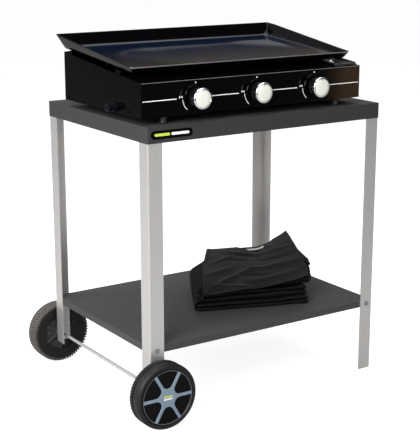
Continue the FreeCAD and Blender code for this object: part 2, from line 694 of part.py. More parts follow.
cup_y, cup_z = on_ledge(CUP_FRONT, "cup_lift")
cup_outer = block((CUP_LEFT, cup_y, cup_z), ("cup_w", "cup_d", "cup_h"), tilt=LEDGE_DEG)
in_y, in_z = on_ledge(f"{CUP_FRONT} + cup_wall", "cup_lift + cup_wall")
cup_inner = block((CUP_LEFT + " + cup_wall", in_y, in_z),
                  ("cup_w - 2 * cup_wall", "cup_d - 2 * cup_wall", "cup_h"), tilt=LEDGE_DEG)
tab_y, tab_z = on_ledge(f"{CUP_FRONT} - cup_tab_d + 1", "cup_lift + cup_h - cup_tab_t")
cup_tab = block((CUP_LEFT + " + cup_tab_in", tab_y, tab_z),
                ("cup_w - 2 * cup_tab_in", "cup_tab_d", "cup_tab_t"), tilt=LEDGE_DEG)
part(fuse(cut(cup_outer, cup_inner), cup_tab), "grease_tray")

guides = []
for guide_x in (CUP_LEFT + " - guide_t - guide_gap", CUP_LEFT + " + cup_w + guide_gap"):
    guide_y, guide_z = on_ledge(CUP_FRONT, "0")
    guide_size = ("guide_t", "cup_d", "guide_h")
    guides.append(block((guide_x, guide_y, guide_z), guide_size, tilt=LEDGE_DEG))
part(group(*guides), "grease_tray_guides")

# ---------------------------------------------------------------- gas train and burners
RAIL_LEFT = f"griddle_x - {HALF_W} + rail_in"
RAIL_LEN = f"{HALF_W} - rail_in + knob_pitch + rail_past"
FEED_R = "manifold_r - pipe_wall"
FEED_LEN = "(rail_in - pipe_wall)"         # from the corner block into the inlet


def elbow(y):
    """Cast corner block that two tubes run into."""
    half = "(manifold_r + elbow_wall)"
    return block((f"{RAIL_LEFT} - {half}", f"{y} - {half}", f"manifold_z - {half}"),
                 (f"2 * {half}", f"2 * {half}", f"2 * {half}"))


part(
    fuse(
        elbow("manifold_y"),
        elbow("inlet_y"),
        rod((RAIL_LEFT, "manifold_y", "manifold_z"), "manifold_r", RAIL_LEN, "X"),
        rod((RAIL_LEFT, "manifold_y", "manifold_z"), FEED_R, "inlet_y - manifold_y", "Y"),
        rod((f"{RAIL_LEFT} - {FEED_LEN}", "inlet_y", "manifold_z"), FEED_R, FEED_LEN, "X"),
    ),
    "gas_manifold",
)
inlet_tip = f"-{HALF_W} - lock_nut_t - inlet_len"
nut_face = f"-{HALF_W} - lock_nut_t"
inlet_end = f"-{HALF_W} + inlet_in"
pipe_stop = f"-{HALF_W} + pipe_wall"
part(
    turned(
        [(inlet_tip, "inlet_bore_r"), (inlet_tip, "inlet_r"), (nut_face, "inlet_r"),
         (nut_face, "lock_nut_r"), (f"-{HALF_W}", "lock_nut_r"), (f"-{HALF_W}", "inlet_r"),
         (inlet_end, "inlet_r"), (inlet_end, FEED_R), (pipe_stop, FEED_R),
         (pipe_stop, "inlet_bore_r")],
        ("griddle_x", "inlet_y", "manifold_z"), axis="H_Axis",
    ),
    "gas_inlet",
)

VALVE_FRONT = "front_y + valve_near"
VALVE_LOW = "manifold_z + manifold_r"
BURNER_LEN = "(burner_back_y - burner_front_y)"
BRACKET_LOW = "body_z + body_sheet"
BRACKET_H = "knob_z - burner_r - body_z - body_sheet"
injectors = []
brackets = []
bezels = []
for i, offset in enumerate(KNOB_XS, start=1):
    x = f"griddle_x + {offset}"
    valve_block = block(
        (f"{x} - valve_w / 2", VALVE_FRONT, VALVE_LOW),
        ("valve_w", "valve_far - valve_near", f"knob_z + valve_up - ({VALVE_LOW})"),
    )
    bore = group(
        rod((x, f"{VALVE_FRONT} - 1", "knob_z"), "valve_bore_r", "valve_bore + 1", "Y"),
        rod((x, VALVE_FRONT, "knob_z"), "stem_r + run_gap", "stem_bore", "Y"),
    )
    part(cut(valve_block, bore), f"gas_valve_{i}")
    spindle = (x, "front_y", "knob_z")
    part(
        turned([("stem_r + run_gap", "collar_at"), ("collar_r", "collar_at"),
                ("collar_r", "collar_at + collar_t"),
                ("stem_r + run_gap", "collar_at + collar_t")], spindle),
        f"valve_collar_{i}",
    )
    part(
        turned([("0", "-stem_out"), ("stem_r", "-stem_out"), ("stem_r", "stem_in"),
                ("0", "stem_in")], spindle),
        f"valve_stem_{i}",
    )
    part(
        turned([("stem_r", "-knob_near"), ("knob_r - 1.5", "-knob_near"),
                ("knob_r - 0.5", "-knob_near - 2"), ("knob_r - 1.5", "-knob_far"),
                ("stem_r", "-knob_far")], spindle),
        f"knob_{i}",
    )
    part(
        turned([("0", "-knob_far"), ("knob_r - 1", "-knob_far"), ("knob_r", "-knob_far - 1"),
                ("knob_r", "-knob_far - knob_face_t + 3.5"),
                ("knob_r - 2.5", "-knob_far - knob_face_t + 0.5"),
                ("0", "-knob_far - knob_face_t")], spindle),
        f"knob_face_{i}",
    )
    bezels.append(
        turned([("stem_r + stem_hole_gap", "0"), ("stem_r + stem_hole_gap", "-bezel_t"),
                ("bezel_r - 1", "-bezel_t"), ("bezel_r", "0")], spindle)
    )
    injectors.append(
        rod((x, "front_y + valve_far", "knob_z"), "injector_r", "injector_len", "Y")
    )
    tube = rod((x, "burner_front_y", "knob_z"), "burner_r", BURNER_LEN, "Y")
    hollow = rod((x, "burner_front_y - 1", "knob_z"), "burner_r - burner_wall",
                 f"{BURNER_LEN} - 1", "Y")
    part(cut(tube, hollow), f"burner_{i}")
    brackets.append(
        block((f"{x} - bracket_w / 2", "burner_back_y - bracket_in", BRACKET_LOW),
              ("bracket_w", "bracket_t", BRACKET_H))
    )
part(group(*bezels), "knob_bezels")
part(group(*injectors), "injectors")
part(group(*brackets), "burner_brackets")
part(
    block(("griddle_x - knob_pitch - burner_rail_past", "burner_front_y + burner_rail_in",
           BRACKET_LOW),
          ("2 * (knob_pitch + burner_rail_past)", "bracket_t", BRACKET_H)),
    "burner_rail",
)
heads = []
for sx in SIDES.values():
    for screw_y in ("front_y + screw_front", "body_back_y - screw_back"):
        face_x = f"griddle_x + {sx} * {HALF_W}" + (" - screw_h" if sx < 0 else "")
        heads.append(rod((face_x, screw_y, "body_z + screw_up"), "screw_r", "screw_h", "X"))
part(group(*heads), "body_screws")

# ---------------------------------------------------------------- folded weather cover
cover = doc.addObject("Part::Wedge", "cover")
bind(
    cover, Ymin="0", Ymax="cover_d", Xmin="0", Xmax="cover_w", Zmin="0", Zmax="cover_front_h",
    X2min="cover_skew", X2max="cover_w + cover_skew", Z2min="0", Z2max="cover_h",
)
part(place(cover, ("cover_x", "cover_y", "shelf_top + cover_gap"), turn="cover_turn"),
     "folded_cover")

# ---------------------------------------------------------------- checks and files
doc.recompute()
for obj in doc.Objects:
    bad = [state for state in obj.State if "Invalid" in state or "Error" in state]
    if bad:
        raise RuntimeError(f"{obj.Label}: {bad}")
os.makedirs("parts", exist_ok=True)
for obj in parts:
    shape = obj.Shape
    if shape.isNull() or not shape.isValid() or shape.Volume <= 0:
        raise RuntimeError(f"{obj.Label}: bad shape")
    shape.exportStep(f"parts/{obj.Label}.step")
    box = shape.BoundBox
    print(f"{obj.Label:22s} {len(shape.Solids)} {shape.Volume / 1000:9.2f} cm3 "
          f"x {box.XMin:.1f} {box.XMax:.1f} y {box.YMin:.1f} {box.YMax:.1f} "
          f"z {box.ZMin:.1f} {box.ZMax:.1f}")
print(len(parts), "parts")
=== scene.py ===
"""Looks of a three-burner gas griddle on a two-shelf trolley: finishes for the carried-over CAD
nodes and finer meshes for the wheels, cooking plate, knobs, printed marks and folded cover.
Metres, +Z up, the knobs face -Y."""
import math
import random

import bmesh
import bpy
from mathutils import Matrix, Vector, noise


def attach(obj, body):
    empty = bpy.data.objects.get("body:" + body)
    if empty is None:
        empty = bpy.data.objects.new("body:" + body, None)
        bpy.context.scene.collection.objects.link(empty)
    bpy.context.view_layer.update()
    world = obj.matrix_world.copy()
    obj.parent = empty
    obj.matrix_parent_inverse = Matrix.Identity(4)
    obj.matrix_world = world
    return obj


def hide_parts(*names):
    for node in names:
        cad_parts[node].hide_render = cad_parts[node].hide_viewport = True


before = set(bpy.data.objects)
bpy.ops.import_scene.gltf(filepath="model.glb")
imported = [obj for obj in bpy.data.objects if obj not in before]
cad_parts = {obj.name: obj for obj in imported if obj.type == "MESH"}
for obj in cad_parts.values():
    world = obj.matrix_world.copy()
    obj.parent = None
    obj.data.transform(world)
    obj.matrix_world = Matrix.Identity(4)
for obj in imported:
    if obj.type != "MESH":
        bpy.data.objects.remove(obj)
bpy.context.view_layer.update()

MM = 0.001
ROOT = "trolley_and_griddle"
random.seed(11)


# ------------------------------------------------------------------ materials
MIX_A, MIX_B, MIX_RESULT = 6, 7, 2        # colour sockets of a mix node
NOISE_RANGE = (0.3, 0.7)                  # what a noise texture mostly covers
CLOUD_DETAIL, GRAIN_DETAIL = 5, 3
RELIEF_DEPTH = 0.0004
LEAST_ROUGH = 0.02


def srgb(r, g, b):
    """Linear colour of an 8-bit display colour."""
    out = []
    for level in (r, g, b):
        c = level / 255
        out.append(c / 12.92 if c <= 0.04045 else ((c + 0.055) / 1.055) ** 2.4)
    return (*out, 1.0)


def map_range(tree, value, source, target):
    """Socket that carries a value from the source range to the target range."""
    band = tree.nodes.new("ShaderNodeMapRange")
    band.inputs["From Min"].default_value = source[0]
    band.inputs["From Max"].default_value = source[1]
    band.inputs["To Min"].default_value = target[0]
    band.inputs["To Max"].default_value = target[1]
    tree.links.new(value, band.inputs["Value"])
    return band.outputs["Result"]


def mix_colours(tree, share, low, high):
    """Socket with a colour that goes from low to high with the share."""
    mix = tree.nodes.new("ShaderNodeMix")
    mix.data_type = "RGBA"
    mix.inputs[MIX_A].default_value = low
    mix.inputs[MIX_B].default_value = high
    tree.links.new(share, mix.inputs[0])
    return mix.outputs[MIX_RESULT]


def noise_value(tree, vector, scale, detail):
    """Socket with the value of a noise texture."""
    cloud = tree.nodes.new("ShaderNodeTexNoise")
    cloud.inputs["Scale"].default_value = scale
    cloud.inputs["Detail"].default_value = detail
    tree.links.new(vector, cloud.inputs["Vector"])
    return cloud.outputs["Fac"]


def finish(name, colour, rough, metallic=0.0, specular=0.5, speckle=0.0, rough_spread=0.0,
           scale=60.0, stretch=(1, 1, 1), bump=0.0, bump_scale=900.0, sheen=0.0):
    """Principled finish with procedural variation in colour, roughness and relief."""
    mat = bpy.data.materials.new(name)
    mat.use_nodes = True
    tree = mat.node_tree
    shader = tree.nodes["Principled BSDF"]
    shader.inputs["Base Color"].default_value = colour
    shader.inputs["Roughness"].default_value = rough
    shader.inputs["Metallic"].default_value = metallic
    shader.inputs["Specular IOR Level"].default_value = specular
    shader.inputs["Sheen Weight"].default_value = sheen
    place = tree.nodes.new("ShaderNodeTexCoord")
    spread = tree.nodes.new("ShaderNodeMapping")
    spread.inputs["Scale"].default_value = stretch
    tree.links.new(place.outputs["Object"], spread.inputs["Vector"])
    if speckle or rough_spread:
        cloud = noise_value(tree, spread.outputs["Vector"], scale, CLOUD_DETAIL)
    if speckle:
        dark, light = [(*(c * share for c in colour[:3]), 1) for share in (1 - speckle, 1 + speckle)]
        tree.links.new(mix_colours(tree, cloud, dark, light), shader.inputs["Base Color"])
    if rough_spread:
        target = (max(LEAST_ROUGH, rough - rough_spread), rough + rough_spread)
        tree.links.new(map_range(tree, cloud, NOISE_RANGE, target), shader.inputs["Roughness"])
    if bump:
        relief = tree.nodes.new("ShaderNodeBump")
        relief.inputs["Strength"].default_value = bump
        relief.inputs["Distance"].default_value = RELIEF_DEPTH
        grain = noise_value(tree, spread.outputs["Vector"], bump_scale, GRAIN_DETAIL)
        tree.links.new(grain, relief.inputs["Height"])
        tree.links.new(relief.outputs["Normal"], shader.inputs["Normal"])
    return mat


POWDER = finish("powder_grey", srgb(51, 50, 50), 0.62, specular=0.18, speckle=0.06,
                rough_spread=0.06, scale=35, bump=0.35, bump_scale=1600)
# lighter copy of the powder grey, as painted light on the shelf
SHELF_PAINTED_LIGHT = finish("powder_grey_shelf_painted_light", srgb(61, 59, 60), 0.5, specular=0.3, speckle=0.06,
               rough_spread=0.06, scale=35, bump=0.35, bump_scale=1600)
SATIN = finish("satin_steel", srgb(203, 201, 199), 0.34, metallic=0.75, speckle=0.03,
               rough_spread=0.05, scale=45, stretch=(14, 14, 0.25), bump=0.15,
               bump_scale=500)
ZINC = finish("zinc", srgb(150, 149, 150), 0.22, metallic=1.0, speckle=0.1, scale=300)
BRIGHT = finish("bright_rod", srgb(212, 211, 211), 0.24, metallic=0.6, rough_spread=0.04,
                scale=90)
TYRE = finish("tyre_black", srgb(20, 19, 19), 0.5, specular=0.3, speckle=0.12, scale=150,
              bump=0.3, bump_scale=1200)
# lighter tyre colour, as painted light on the back wheel's tread
TREAD_PAINTED_LIGHT = finish("tyre_tread_painted_light", srgb(84, 78, 74), 0.6, specular=0.4, speckle=0.25, scale=220,
               bump=0.4, bump_scale=1200)
WHEEL = finish("wheel_grey", srgb(54, 51, 53), 0.5, specular=0.3, speckle=0.08, scale=80,
               bump=0.2, bump_scale=900)
CAP = finish("cap_black", srgb(6, 6, 7), 0.35, specular=0.09, speckle=0.1, scale=200)
BEAD = finish("cap_bead", srgb(84, 85, 90), 0.35, speckle=0.1, scale=200)
STAR = finish("star_silver", srgb(122, 138, 154), 0.38, metallic=0.25, speckle=0.06,
              scale=500, bump=0.15, bump_scale=1500)
LINER = finish("liner_nylon", srgb(150, 150, 148), 0.5, speckle=0.05)
GLOSS = finish("gloss_black", srgb(3, 3, 4), 0.09, specular=0.09, rough_spread=0.03,
               scale=25, bump=0.03, bump_scale=400)
ENAMEL = finish("plate_enamel", srgb(3, 3, 5), 0.06, specular=0.15, rough_spread=0.03,
                scale=18, bump=0.05, bump_scale=350)
FOOT = finish("foot_rubber", srgb(9, 9, 10), 0.6, speckle=0.1, bump=0.2)
GAS_STEEL = finish("gas_steel", srgb(165, 165, 168), 0.35, metallic=1.0, rough_spread=0.08)
BRASS = finish("brass", srgb(196, 164, 96), 0.3, metallic=1.0, rough_spread=0.06)
DARK_BRASS = finish("dark_fitting", srgb(34, 35, 42), 0.3, metallic=0.8, rough_spread=0.08)
CAST = finish("cast_aluminium", srgb(178, 178, 180), 0.5, metallic=1.0, bump=0.4)
BURNER = finish("burner_steel", srgb(170, 166, 160), 0.4, metallic=1.0, speckle=0.15,
                rough_spread=0.1)
KNOB = finish("knob_black", srgb(12, 12, 14), 0.2, specular=0.5, speckle=0.1, scale=90)
DISC = finish("knob_satin", srgb(222, 224, 214), 0.45, metallic=0.1, speckle=0.06,
              scale=160, rough_spread=0.05, bump=0.05)
CHROME = finish("knob_edge", srgb(225, 226, 228), 0.14, metallic=1.0, rough_spread=0.03)
PRINT = finish("white_print", srgb(238, 238, 232), 0.5, speckle=0.02, scale=700)
GREASE = finish("grease_steel", srgb(96, 96, 98), 0.35, metallic=0.9, rough_spread=0.1)
LIME = finish("lime_mark", srgb(190, 208, 70), 0.5, speckle=0.03, scale=600)
FABRIC = finish("cover_fabric", srgb(19, 19, 20), 0.5, specular=0.22, speckle=0.10,
                scale=240, bump=0.35, bump_scale=1400, sheen=0.02)
LABEL = finish("cover_label", srgb(196, 196, 194), 0.6, speckle=0.04, scale=500)
# painted highlight for the top edges of the control panel and the plate's front lip
EDGE_PAINTED_HIGHLIGHT = finish("edge_painted_highlight", srgb(126, 124, 124), 0.3, metallic=0.4, speckle=0.35, scale=60)
# darker copy of the cover cloth, as painted shade on the pile
PILE_PAINTED_SHADE = finish("cover_pile_painted_shade", srgb(9, 9, 10), 0.6, specular=0.12, speckle=0.1, scale=240,
                bump=0.35, bump_scale=1400)
# painted highlight for the bend at the edge of the plate's floor
BEND_PAINTED_HIGHLIGHT = finish("bend_painted_highlight", srgb(44, 48, 62), 0.2, speckle=0.2, scale=30)


def painted_reflection_enamel(name, front_colour, back_colour, front_y, back_y):
    """Enamel with a painted reflection: its colour drifts from brown at the front to blue-black at
    the back.
    """
    mat = finish(name, front_colour, 0.075, specular=0.13, rough_spread=0.03, scale=14)
    tree = mat.node_tree
    place = tree.nodes.new("ShaderNodeTexCoord").outputs["Object"]
    split = tree.nodes.new("ShaderNodeSeparateXYZ")
    tree.links.new(place, split.inputs["Vector"])
    # noise shifts the drift by up to 0.1 m, so that its border is uneven
    sway = tree.nodes.new("ShaderNodeMath")
    sway.operation = "MULTIPLY_ADD"
    sway.inputs[1].default_value = 0.10
    tree.links.new(noise_value(tree, place, 7.0, 2), sway.inputs[0])
    tree.links.new(split.outputs["Y"], sway.inputs[2])
    share = map_range(tree, sway.outputs[0], (front_y, back_y), (0, 1))
    shader = tree.nodes["Principled BSDF"]
    tree.links.new(mix_colours(tree, share, front_colour, back_colour), shader.inputs["Base Color"])
    return mat


# the plate floor's brown front and blue-black back are a painted reflection
FLOOR_PAINTED_REFLECTION = painted_reflection_enamel("floor_painted_reflection", srgb(59, 52, 43), srgb(9, 17, 31), -0.13, 0.10)

NODE_FINISH = {
    "top_tray": POWDER, "lower_shelf": SHELF_PAINTED_LIGHT, "tray_studs": ZINC, "shelf_bolts": ZINC,
    "nuts": ZINC, "axle": BRIGHT, "axle_spacers": ZINC, "axle_clips": ZINC,
    "badge_plate": GLOSS, "front_panel": GLOSS, "side_panel_left": GLOSS,
    "side_panel_right": GLOSS, "back_panel": GLOSS, "base_pan": GLOSS, "plate_rests": GLOSS,
    "grease_tray_guides": GLOSS, "body_screws": GLOSS, "griddle_feet": FOOT,
    "gas_manifold": GAS_STEEL, "gas_inlet": DARK_BRASS, "injectors": BRASS,
    "burner_brackets": BURNER, "burner_rail": BURNER, "grease_tray": GREASE,
    "knob_bezels": GLOSS, "hot_plate": ENAMEL, "folded_cover": FABRIC,
}
for side in ("left", "right"):
    for end in ("front", "back"):
        NODE_FINISH[f"leg_{end}_{side}"] = SATIN
for end in ("front", "back"):
    NODE_FINISH[f"tyre_{end}"] = TYRE
    NODE_FINISH[f"wheel_centre_{end}"] = WHEEL
    NODE_FINISH[f"bore_liner_{end}"] = LINER
    NODE_FINISH[f"hub_cap_{end}"] = CAP
    NODE_FINISH[f"hub_star_{end}"] = STAR
for i in (1, 2, 3):
    NODE_FINISH[f"gas_valve_{i}"] = CAST
    NODE_FINISH[f"valve_collar_{i}"] = GAS_STEEL
    NODE_FINISH[f"valve_stem_{i}"] = BRASS
    NODE_FINISH[f"burner_{i}"] = BURNER
    NODE_FINISH[f"knob_{i}"] = KNOB
    NODE_FINISH[f"knob_face_{i}"] = DISC

for node_name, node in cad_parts.items():
    node.data.materials.clear()
    node.data.materials.append(NODE_FINISH[node_name])


def soften(obj, width, segments=2, angle_deg=40):
    """Rounds the sharp edges of a mesh."""
    rounding = obj.modifiers.new("soft_edges", "BEVEL")
    rounding.width = width
    rounding.segments = segments
    rounding.limit_method = "ANGLE"
    rounding.angle_limit = math.radians(angle_deg)


EDGE_ROUND_MM = {"top_tray": 0.8, "lower_shelf": 0.7, "front_panel": 0.5, "side_panel_left": 0.4,
                 "side_panel_right": 0.4, "back_panel": 0.4, "badge_plate": 0.35,
                 "leg_front_left": 0.4, "leg_front_right": 0.4, "leg_back_left": 0.4,
                 "leg_back_right": 0.4, "shelf_bolts": 0.9, "gas_inlet": 0.5,
                 "knob_bezels": 0.4, "griddle_feet": 0.5, "grease_tray": 0.3}
for node_name, width_mm in EDGE_ROUND_MM.items():
    soften(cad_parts[node_name], width_mm * MM)


# ------------------------------------------------------------------ mesh helpers
def make(name, verts, faces, mat, body, sharp_deg=35, stands_for=()):
    """Mesh object with its own finish that rides on a CAD body."""
    mesh = bpy.data.meshes.new(name)
    mesh.from_pydata([tuple(v) for v in verts], [], faces)
    shape = bmesh.new()
    shape.from_mesh(mesh)
    bmesh.ops.recalc_face_normals(shape, faces=shape.faces)
    shape.to_mesh(mesh)
    shape.free()
    mesh.shade_smooth()
    mesh.set_sharp_from_angle(angle=math.radians(sharp_deg))
    mesh.materials.append(mat)
    obj = bpy.data.objects.new(name, mesh)
    bpy.context.collection.objects.link(obj)
    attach(obj, body)
    if stands_for:
        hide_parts(*stands_for)
    return obj


def ring_faces(rows, count, closed_rows=False):
    """Quads between successive rings of points."""
    faces = []
    last = rows if closed_rows else rows - 1
    for a in range(last):
        b = (a + 1) % rows
        for k in range(count):
            n = (k + 1) % count
            faces.append((a * count + k, a * count + n, b * count + n, b * count + k))
    return faces


def tube_faces(rings, count):
    """Quads of a tube of rings, with a face at each of its two ends."""
    return ring_faces(rings, count) + [tuple(range(count)),
                                       tuple(range((rings - 1) * count, rings * count))]


def lathe(name, profile_mm, centre, out, mat, body, count=96, closed=False, **kw):
    """Solid turned about a line along Y; the profile is (radius, distance outwards) in mm."""
    verts = []
    for radius_mm, reach_mm in profile_mm:
        for k in range(count):
            turn = 2 * math.pi * k / count
            verts.append((centre[0] + radius_mm * MM * math.cos(turn),
                          centre[1] + out * (reach_mm * MM),
                          centre[2] + radius_mm * MM * math.sin(turn)))
    rings = len(profile_mm)
    faces = ring_faces(rings, count, True) if closed else tube_faces(rings, count)
    return make(name, verts, faces, mat, body, **kw)


def slab(name, outline, y_front, depth, mat, body, **kw):
    """Flat shape in the XZ plane with a thickness along +Y."""
    n = len(outline)
    verts = [(x, y_front, z) for x, z in outline] + [(x, y_front + depth, z) for x, z in outline]
    faces = [tuple(range(n)), tuple(range(2 * n - 1, n - 1, -1))]
    faces += [(k, (k + 1) % n, n + (k + 1) % n, n + k) for k in range(n)]
    return make(name, verts, faces, mat, body, **kw)


def arc_points(cx, cz, radius, start_deg, end_deg, count):
    """Points on an arc, angles counted from +X towards +Z."""
    out = []
    for k in range(count + 1):
        turn = math.radians(start_deg + (end_deg - start_deg) * k / count)
        out.append((cx + radius * math.cos(turn), cz + radius * math.sin(turn)))
    return out


def circle(radius, count, cx=0, cz=0):
    """Points evenly spaced round a circle."""
    return arc_points(cx, cz, radius, 0, 360 - 360 / count, count - 1)


def pill(x0, x1, z, height, steps=6):
    """Outline of a bar with round ends."""
    r = height / 2
    return (arc_points(x1 - r, z, r, -90, 90, steps) + arc_points(x0 + r, z, r, 90, 270, steps))


# ------------------------------------------------------------------ wheels
CART_X = 0.03275
AXLE_X, AXLE_Z = CART_X - 0.3405, 0.085
WHEEL_Y = 0.266
RIBS = 64
RIB_SAMPLES = 8                           # points round the tyre for each rib
TREAD_FROM = 0.079                        # the ribs are cut into what lies outside this radius
INNER_RIBS = (0.0, 0.015, 0.0045, 0.0)    # band from, to, depth, shift in ribs
MIDDLE_RIBS = (0.020, 0.034, 0.0026, 0.5)
RIB_WEAR = {"front": 0.3, "back": 1.0}    # share of the ribs' depth left
# profiles in millimetres: distance from the axle, distance outwards
TYRE_PROFILE = [(71.2, 38.0), (72.6, 42.0), (73.6, 43.2), (74.6, 43.6), (78.2, 44.2), (81.0, 43.2),
                (83.0, 41.0), (84.4, 38.0), (84.9, 34.5), (84.9, 34.0), (84.9, 33.9), (84.9, 20.1),
                (83.2, 20.0), (83.2, 15.1), (84.9, 15.0), (84.9, 14.9), (84.9, 3.0), (84.3, 1.4),
                (82.0, 0.6), (79.4, 0.4), (77.0, 0.8), (75.6, 2.2), (64.0, 2.8), (50.5, 3.0),
                (48.5, 4.2), (48.5, 9.0), (71.2, 12.0)]
LIGHT_FROM_R, LIGHT_TO_Y = 79, 34.2       # the painted light on the tread lies outside and inwards of these
CENTRE_PROFILE = [(9.2, 31.5), (9.2, 0.5), (14.0, 0.5), (15.5, 2.0), (17.0, 11.0), (46.5, 12.0),
                  (48.3, 9.2), (71.0, 12.4), (71.0, 39.5), (63.0, 39.5), (63.0, 16.0),
                  (17.0, 16.0), (17.0, 31.5)]
BOSS_PROFILE = [(2.2, 12.0), (2.2, 7.5), (4.2, 7.0), (5.2, 8.0), (5.6, 12.0)]
BOSS_R = 0.033                            # the screw bosses' distance from the axle
CAP_PROFILE = [(0.05, 40.0), (70.6, 40.0), (70.7, 42.8), (70.2, 43.6), (69.0, 43.8),
               (68.2, 43.2), (67.6, 42.4), (30.0, 42.8), (0.5, 43.0)]
BEAD_FROM, BEAD_TO = 0.0681, 0.0703       # metres from the axle
# ribs of the wheel centre, in millimetres: distance from the axle, outwards, half width
RIB_CORNERS = [(15.0, 3.0, 2.6), (48.4, 4.0, 3.4), (48.4, 12.0, 3.4), (15.0, 12.0, 2.6)]
RIB_QUADS = [(0, 1, 3, 2), (2, 3, 5, 4), (4, 5, 7, 6), (6, 7, 1, 0), (0, 2, 4, 6), (1, 7, 5, 3)]
# trim, in millimetres: half width and reach of an arm, the hollows' least distance from the axle
ARM_HALF, ARM_TIP, HOLLOW_LOW = 4.0, 69.0, 23.5
STAR_AT, STAR_T = 42.6, 3.0               # distance outwards and thickness of the trim
STRIPE_T, STRIPE_H, STRIPE_W, STRIPE_Z = 0.15, 3.6, 26, 3.2


def tyre_radius(radius, reach, turn, wear):
    """Radius of the tyre with its two ribbed bands, made shallower by wear."""
    if radius < TREAD_FROM:
        return radius
    for begin, stop, depth, shift in (INNER_RIBS, MIDDLE_RIBS):
        if begin < reach < stop and (turn / (2 * math.pi) * RIBS + shift) % 1.0 > 0.5:
            return radius - depth * wear
    return radius


def tyre_look(end, out, hub, body):
    """Ribbed tyre; the back one's tread gets a lighter colour, as painted light."""
    count = RIBS * RIB_SAMPLES
    verts = []
    for r_mm, s_mm in TYRE_PROFILE:
        for k in range(count):
            turn = 2 * math.pi * k / count
            r = tyre_radius(r_mm * MM, s_mm * MM, turn, RIB_WEAR[end])
            verts.append((hub[0] + r * math.cos(turn), hub[1] + out * s_mm * MM,
                          hub[2] + r * math.sin(turn)))
    tyre = make(f"tyre_look_{end}", verts, ring_faces(len(TYRE_PROFILE), count, True), TYRE, body,
                sharp_deg=32, stands_for=(f"tyre_{end}",))
    tyre.data.materials.append(TREAD_PAINTED_LIGHT)
    for face in tyre.data.polygons:
        band = [TYRE_PROFILE[v // count] for v in face.vertices]
        outside, inwards = min(r for r, s in band), max(s for r, s in band)
        if end == "back" and outside > LIGHT_FROM_R and inwards < LIGHT_TO_Y:
            face.material_index = 1


def wheel_rib(end, k, out, hub, body):
    """Tapered rib from the hub to the barrel of the wheel."""
    turn = math.radians(60 * k + 30)
    along = Vector((math.cos(turn), 0, math.sin(turn)))
    across = Vector((-math.sin(turn), 0, math.cos(turn)))
    corners = []
    for r_mm, s_mm, half in RIB_CORNERS:
        for sign in (-1, 1):
            corners.append(Vector(hub) + along * r_mm * MM + across * sign * half * MM
                           + Vector((0, out * s_mm * MM, 0)))
    soften(make(f"wheel_rib_{end}_{k}", corners, RIB_QUADS, WHEEL, body), 0.0008)


def wheel_centre_look(end, out, hub, body):
    """Hub, sunk web and outer barrel, with six ribs and round screw bosses between them."""
    lathe(f"wheel_look_{end}", CENTRE_PROFILE, hub, out, WHEEL, body, closed=True,
          stands_for=(f"wheel_centre_{end}",))
    for k in range(6):
        wheel_rib(end, k, out, hub, body)
        turn = math.radians(60 * k)
        boss = (hub[0] + BOSS_R * math.cos(turn), hub[1], hub[2] + BOSS_R * math.sin(turn))
        lathe(f"wheel_boss_{end}_{k}", BOSS_PROFILE, boss, out, WHEEL, body, count=28, closed=True)


def cap_look(end, out, hub, body):
    """Flat black disc with a raised bead at its rim."""
    disc = lathe(f"cap_look_{end}", CAP_PROFILE, hub, out, CAP, body,
                 stands_for=(f"hub_cap_{end}",))
    disc.data.materials.append(BEAD)
    for face in disc.data.polygons:
        reach = [math.hypot(v.x - hub[0], v.z - hub[2])
                 for v in (disc.data.vertices[i].co for i in face.vertices)]
        if BEAD_FROM < min(reach) and max(reach) < BEAD_TO:
            face.material_index = 1


def lesser_y(hub, out, at_mm, thick_mm):
    """Lesser y of a flat piece that begins at a distance outwards of the hub."""
    return hub[1] + min(out * at_mm, out * (at_mm + thick_mm)) * MM


def star_look(end, out, hub, body):
    """Six-armed trim with round hollows between the arms."""
    mid_r = 2 * (HOLLOW_LOW - ARM_HALF)
    cx, cz = mid_r * math.cos(math.radians(30)), mid_r * math.sin(math.radians(30))
    arm_end = [Vector((ARM_TIP, -ARM_HALF)), Vector((ARM_TIP, ARM_HALF))]
    hollow = [Vector(p) for p in arc_points(cx, cz, mid_r - HOLLOW_LOW, 270, 150, 12)]
    outline = []
    for k in range(6):
        spin = Matrix.Rotation(math.radians(60 * k), 2)
        for point in arm_end + hollow:
            p = spin @ point
            outline.append((hub[0] + p.x * MM, hub[2] + p.y * MM))
    star = slab(f"star_look_{end}", outline, lesser_y(hub, out, STAR_AT, STAR_T), STAR_T * MM,
                STAR, body, stands_for=(f"hub_star_{end}",))
    soften(star, 0.0006)


def hub_stripes(end, out, hub, body):
    """Two plain stripes on the trim."""
    stripe_y = lesser_y(hub, out, STAR_AT + STAR_T, STRIPE_T)
    x0, x1 = hub[0] - STRIPE_W / 2 * MM, hub[0] + STRIPE_W / 2 * MM
    for row, z_mm, mat in (("top", STRIPE_Z, LIME), ("low", -STRIPE_Z, PRINT)):
        bar = pill(x0, x1, hub[2] + z_mm * MM, STRIPE_H * MM)
        slab(f"hub_stripe_{end}_{row}", bar, stripe_y, STRIPE_T * MM, mat, body)


for end, out in (("front", -1), ("back", 1)):
    hub = (AXLE_X, out * WHEEL_Y, AXLE_Z)
    for build in (tyre_look, wheel_centre_look, cap_look, star_look, hub_stripes):
        build(end, out, hub, f"{end}_wheel")

# ------------------------------------------------------------------ knobs
GRIDDLE_X = 0.00675
KNOB_PITCH = 0.182
KNOB_XS = [GRIDDLE_X - KNOB_PITCH, GRIDDLE_X, GRIDDLE_X + KNOB_PITCH]
KNOB_Z = 0.807
PANEL_Y = -0.235
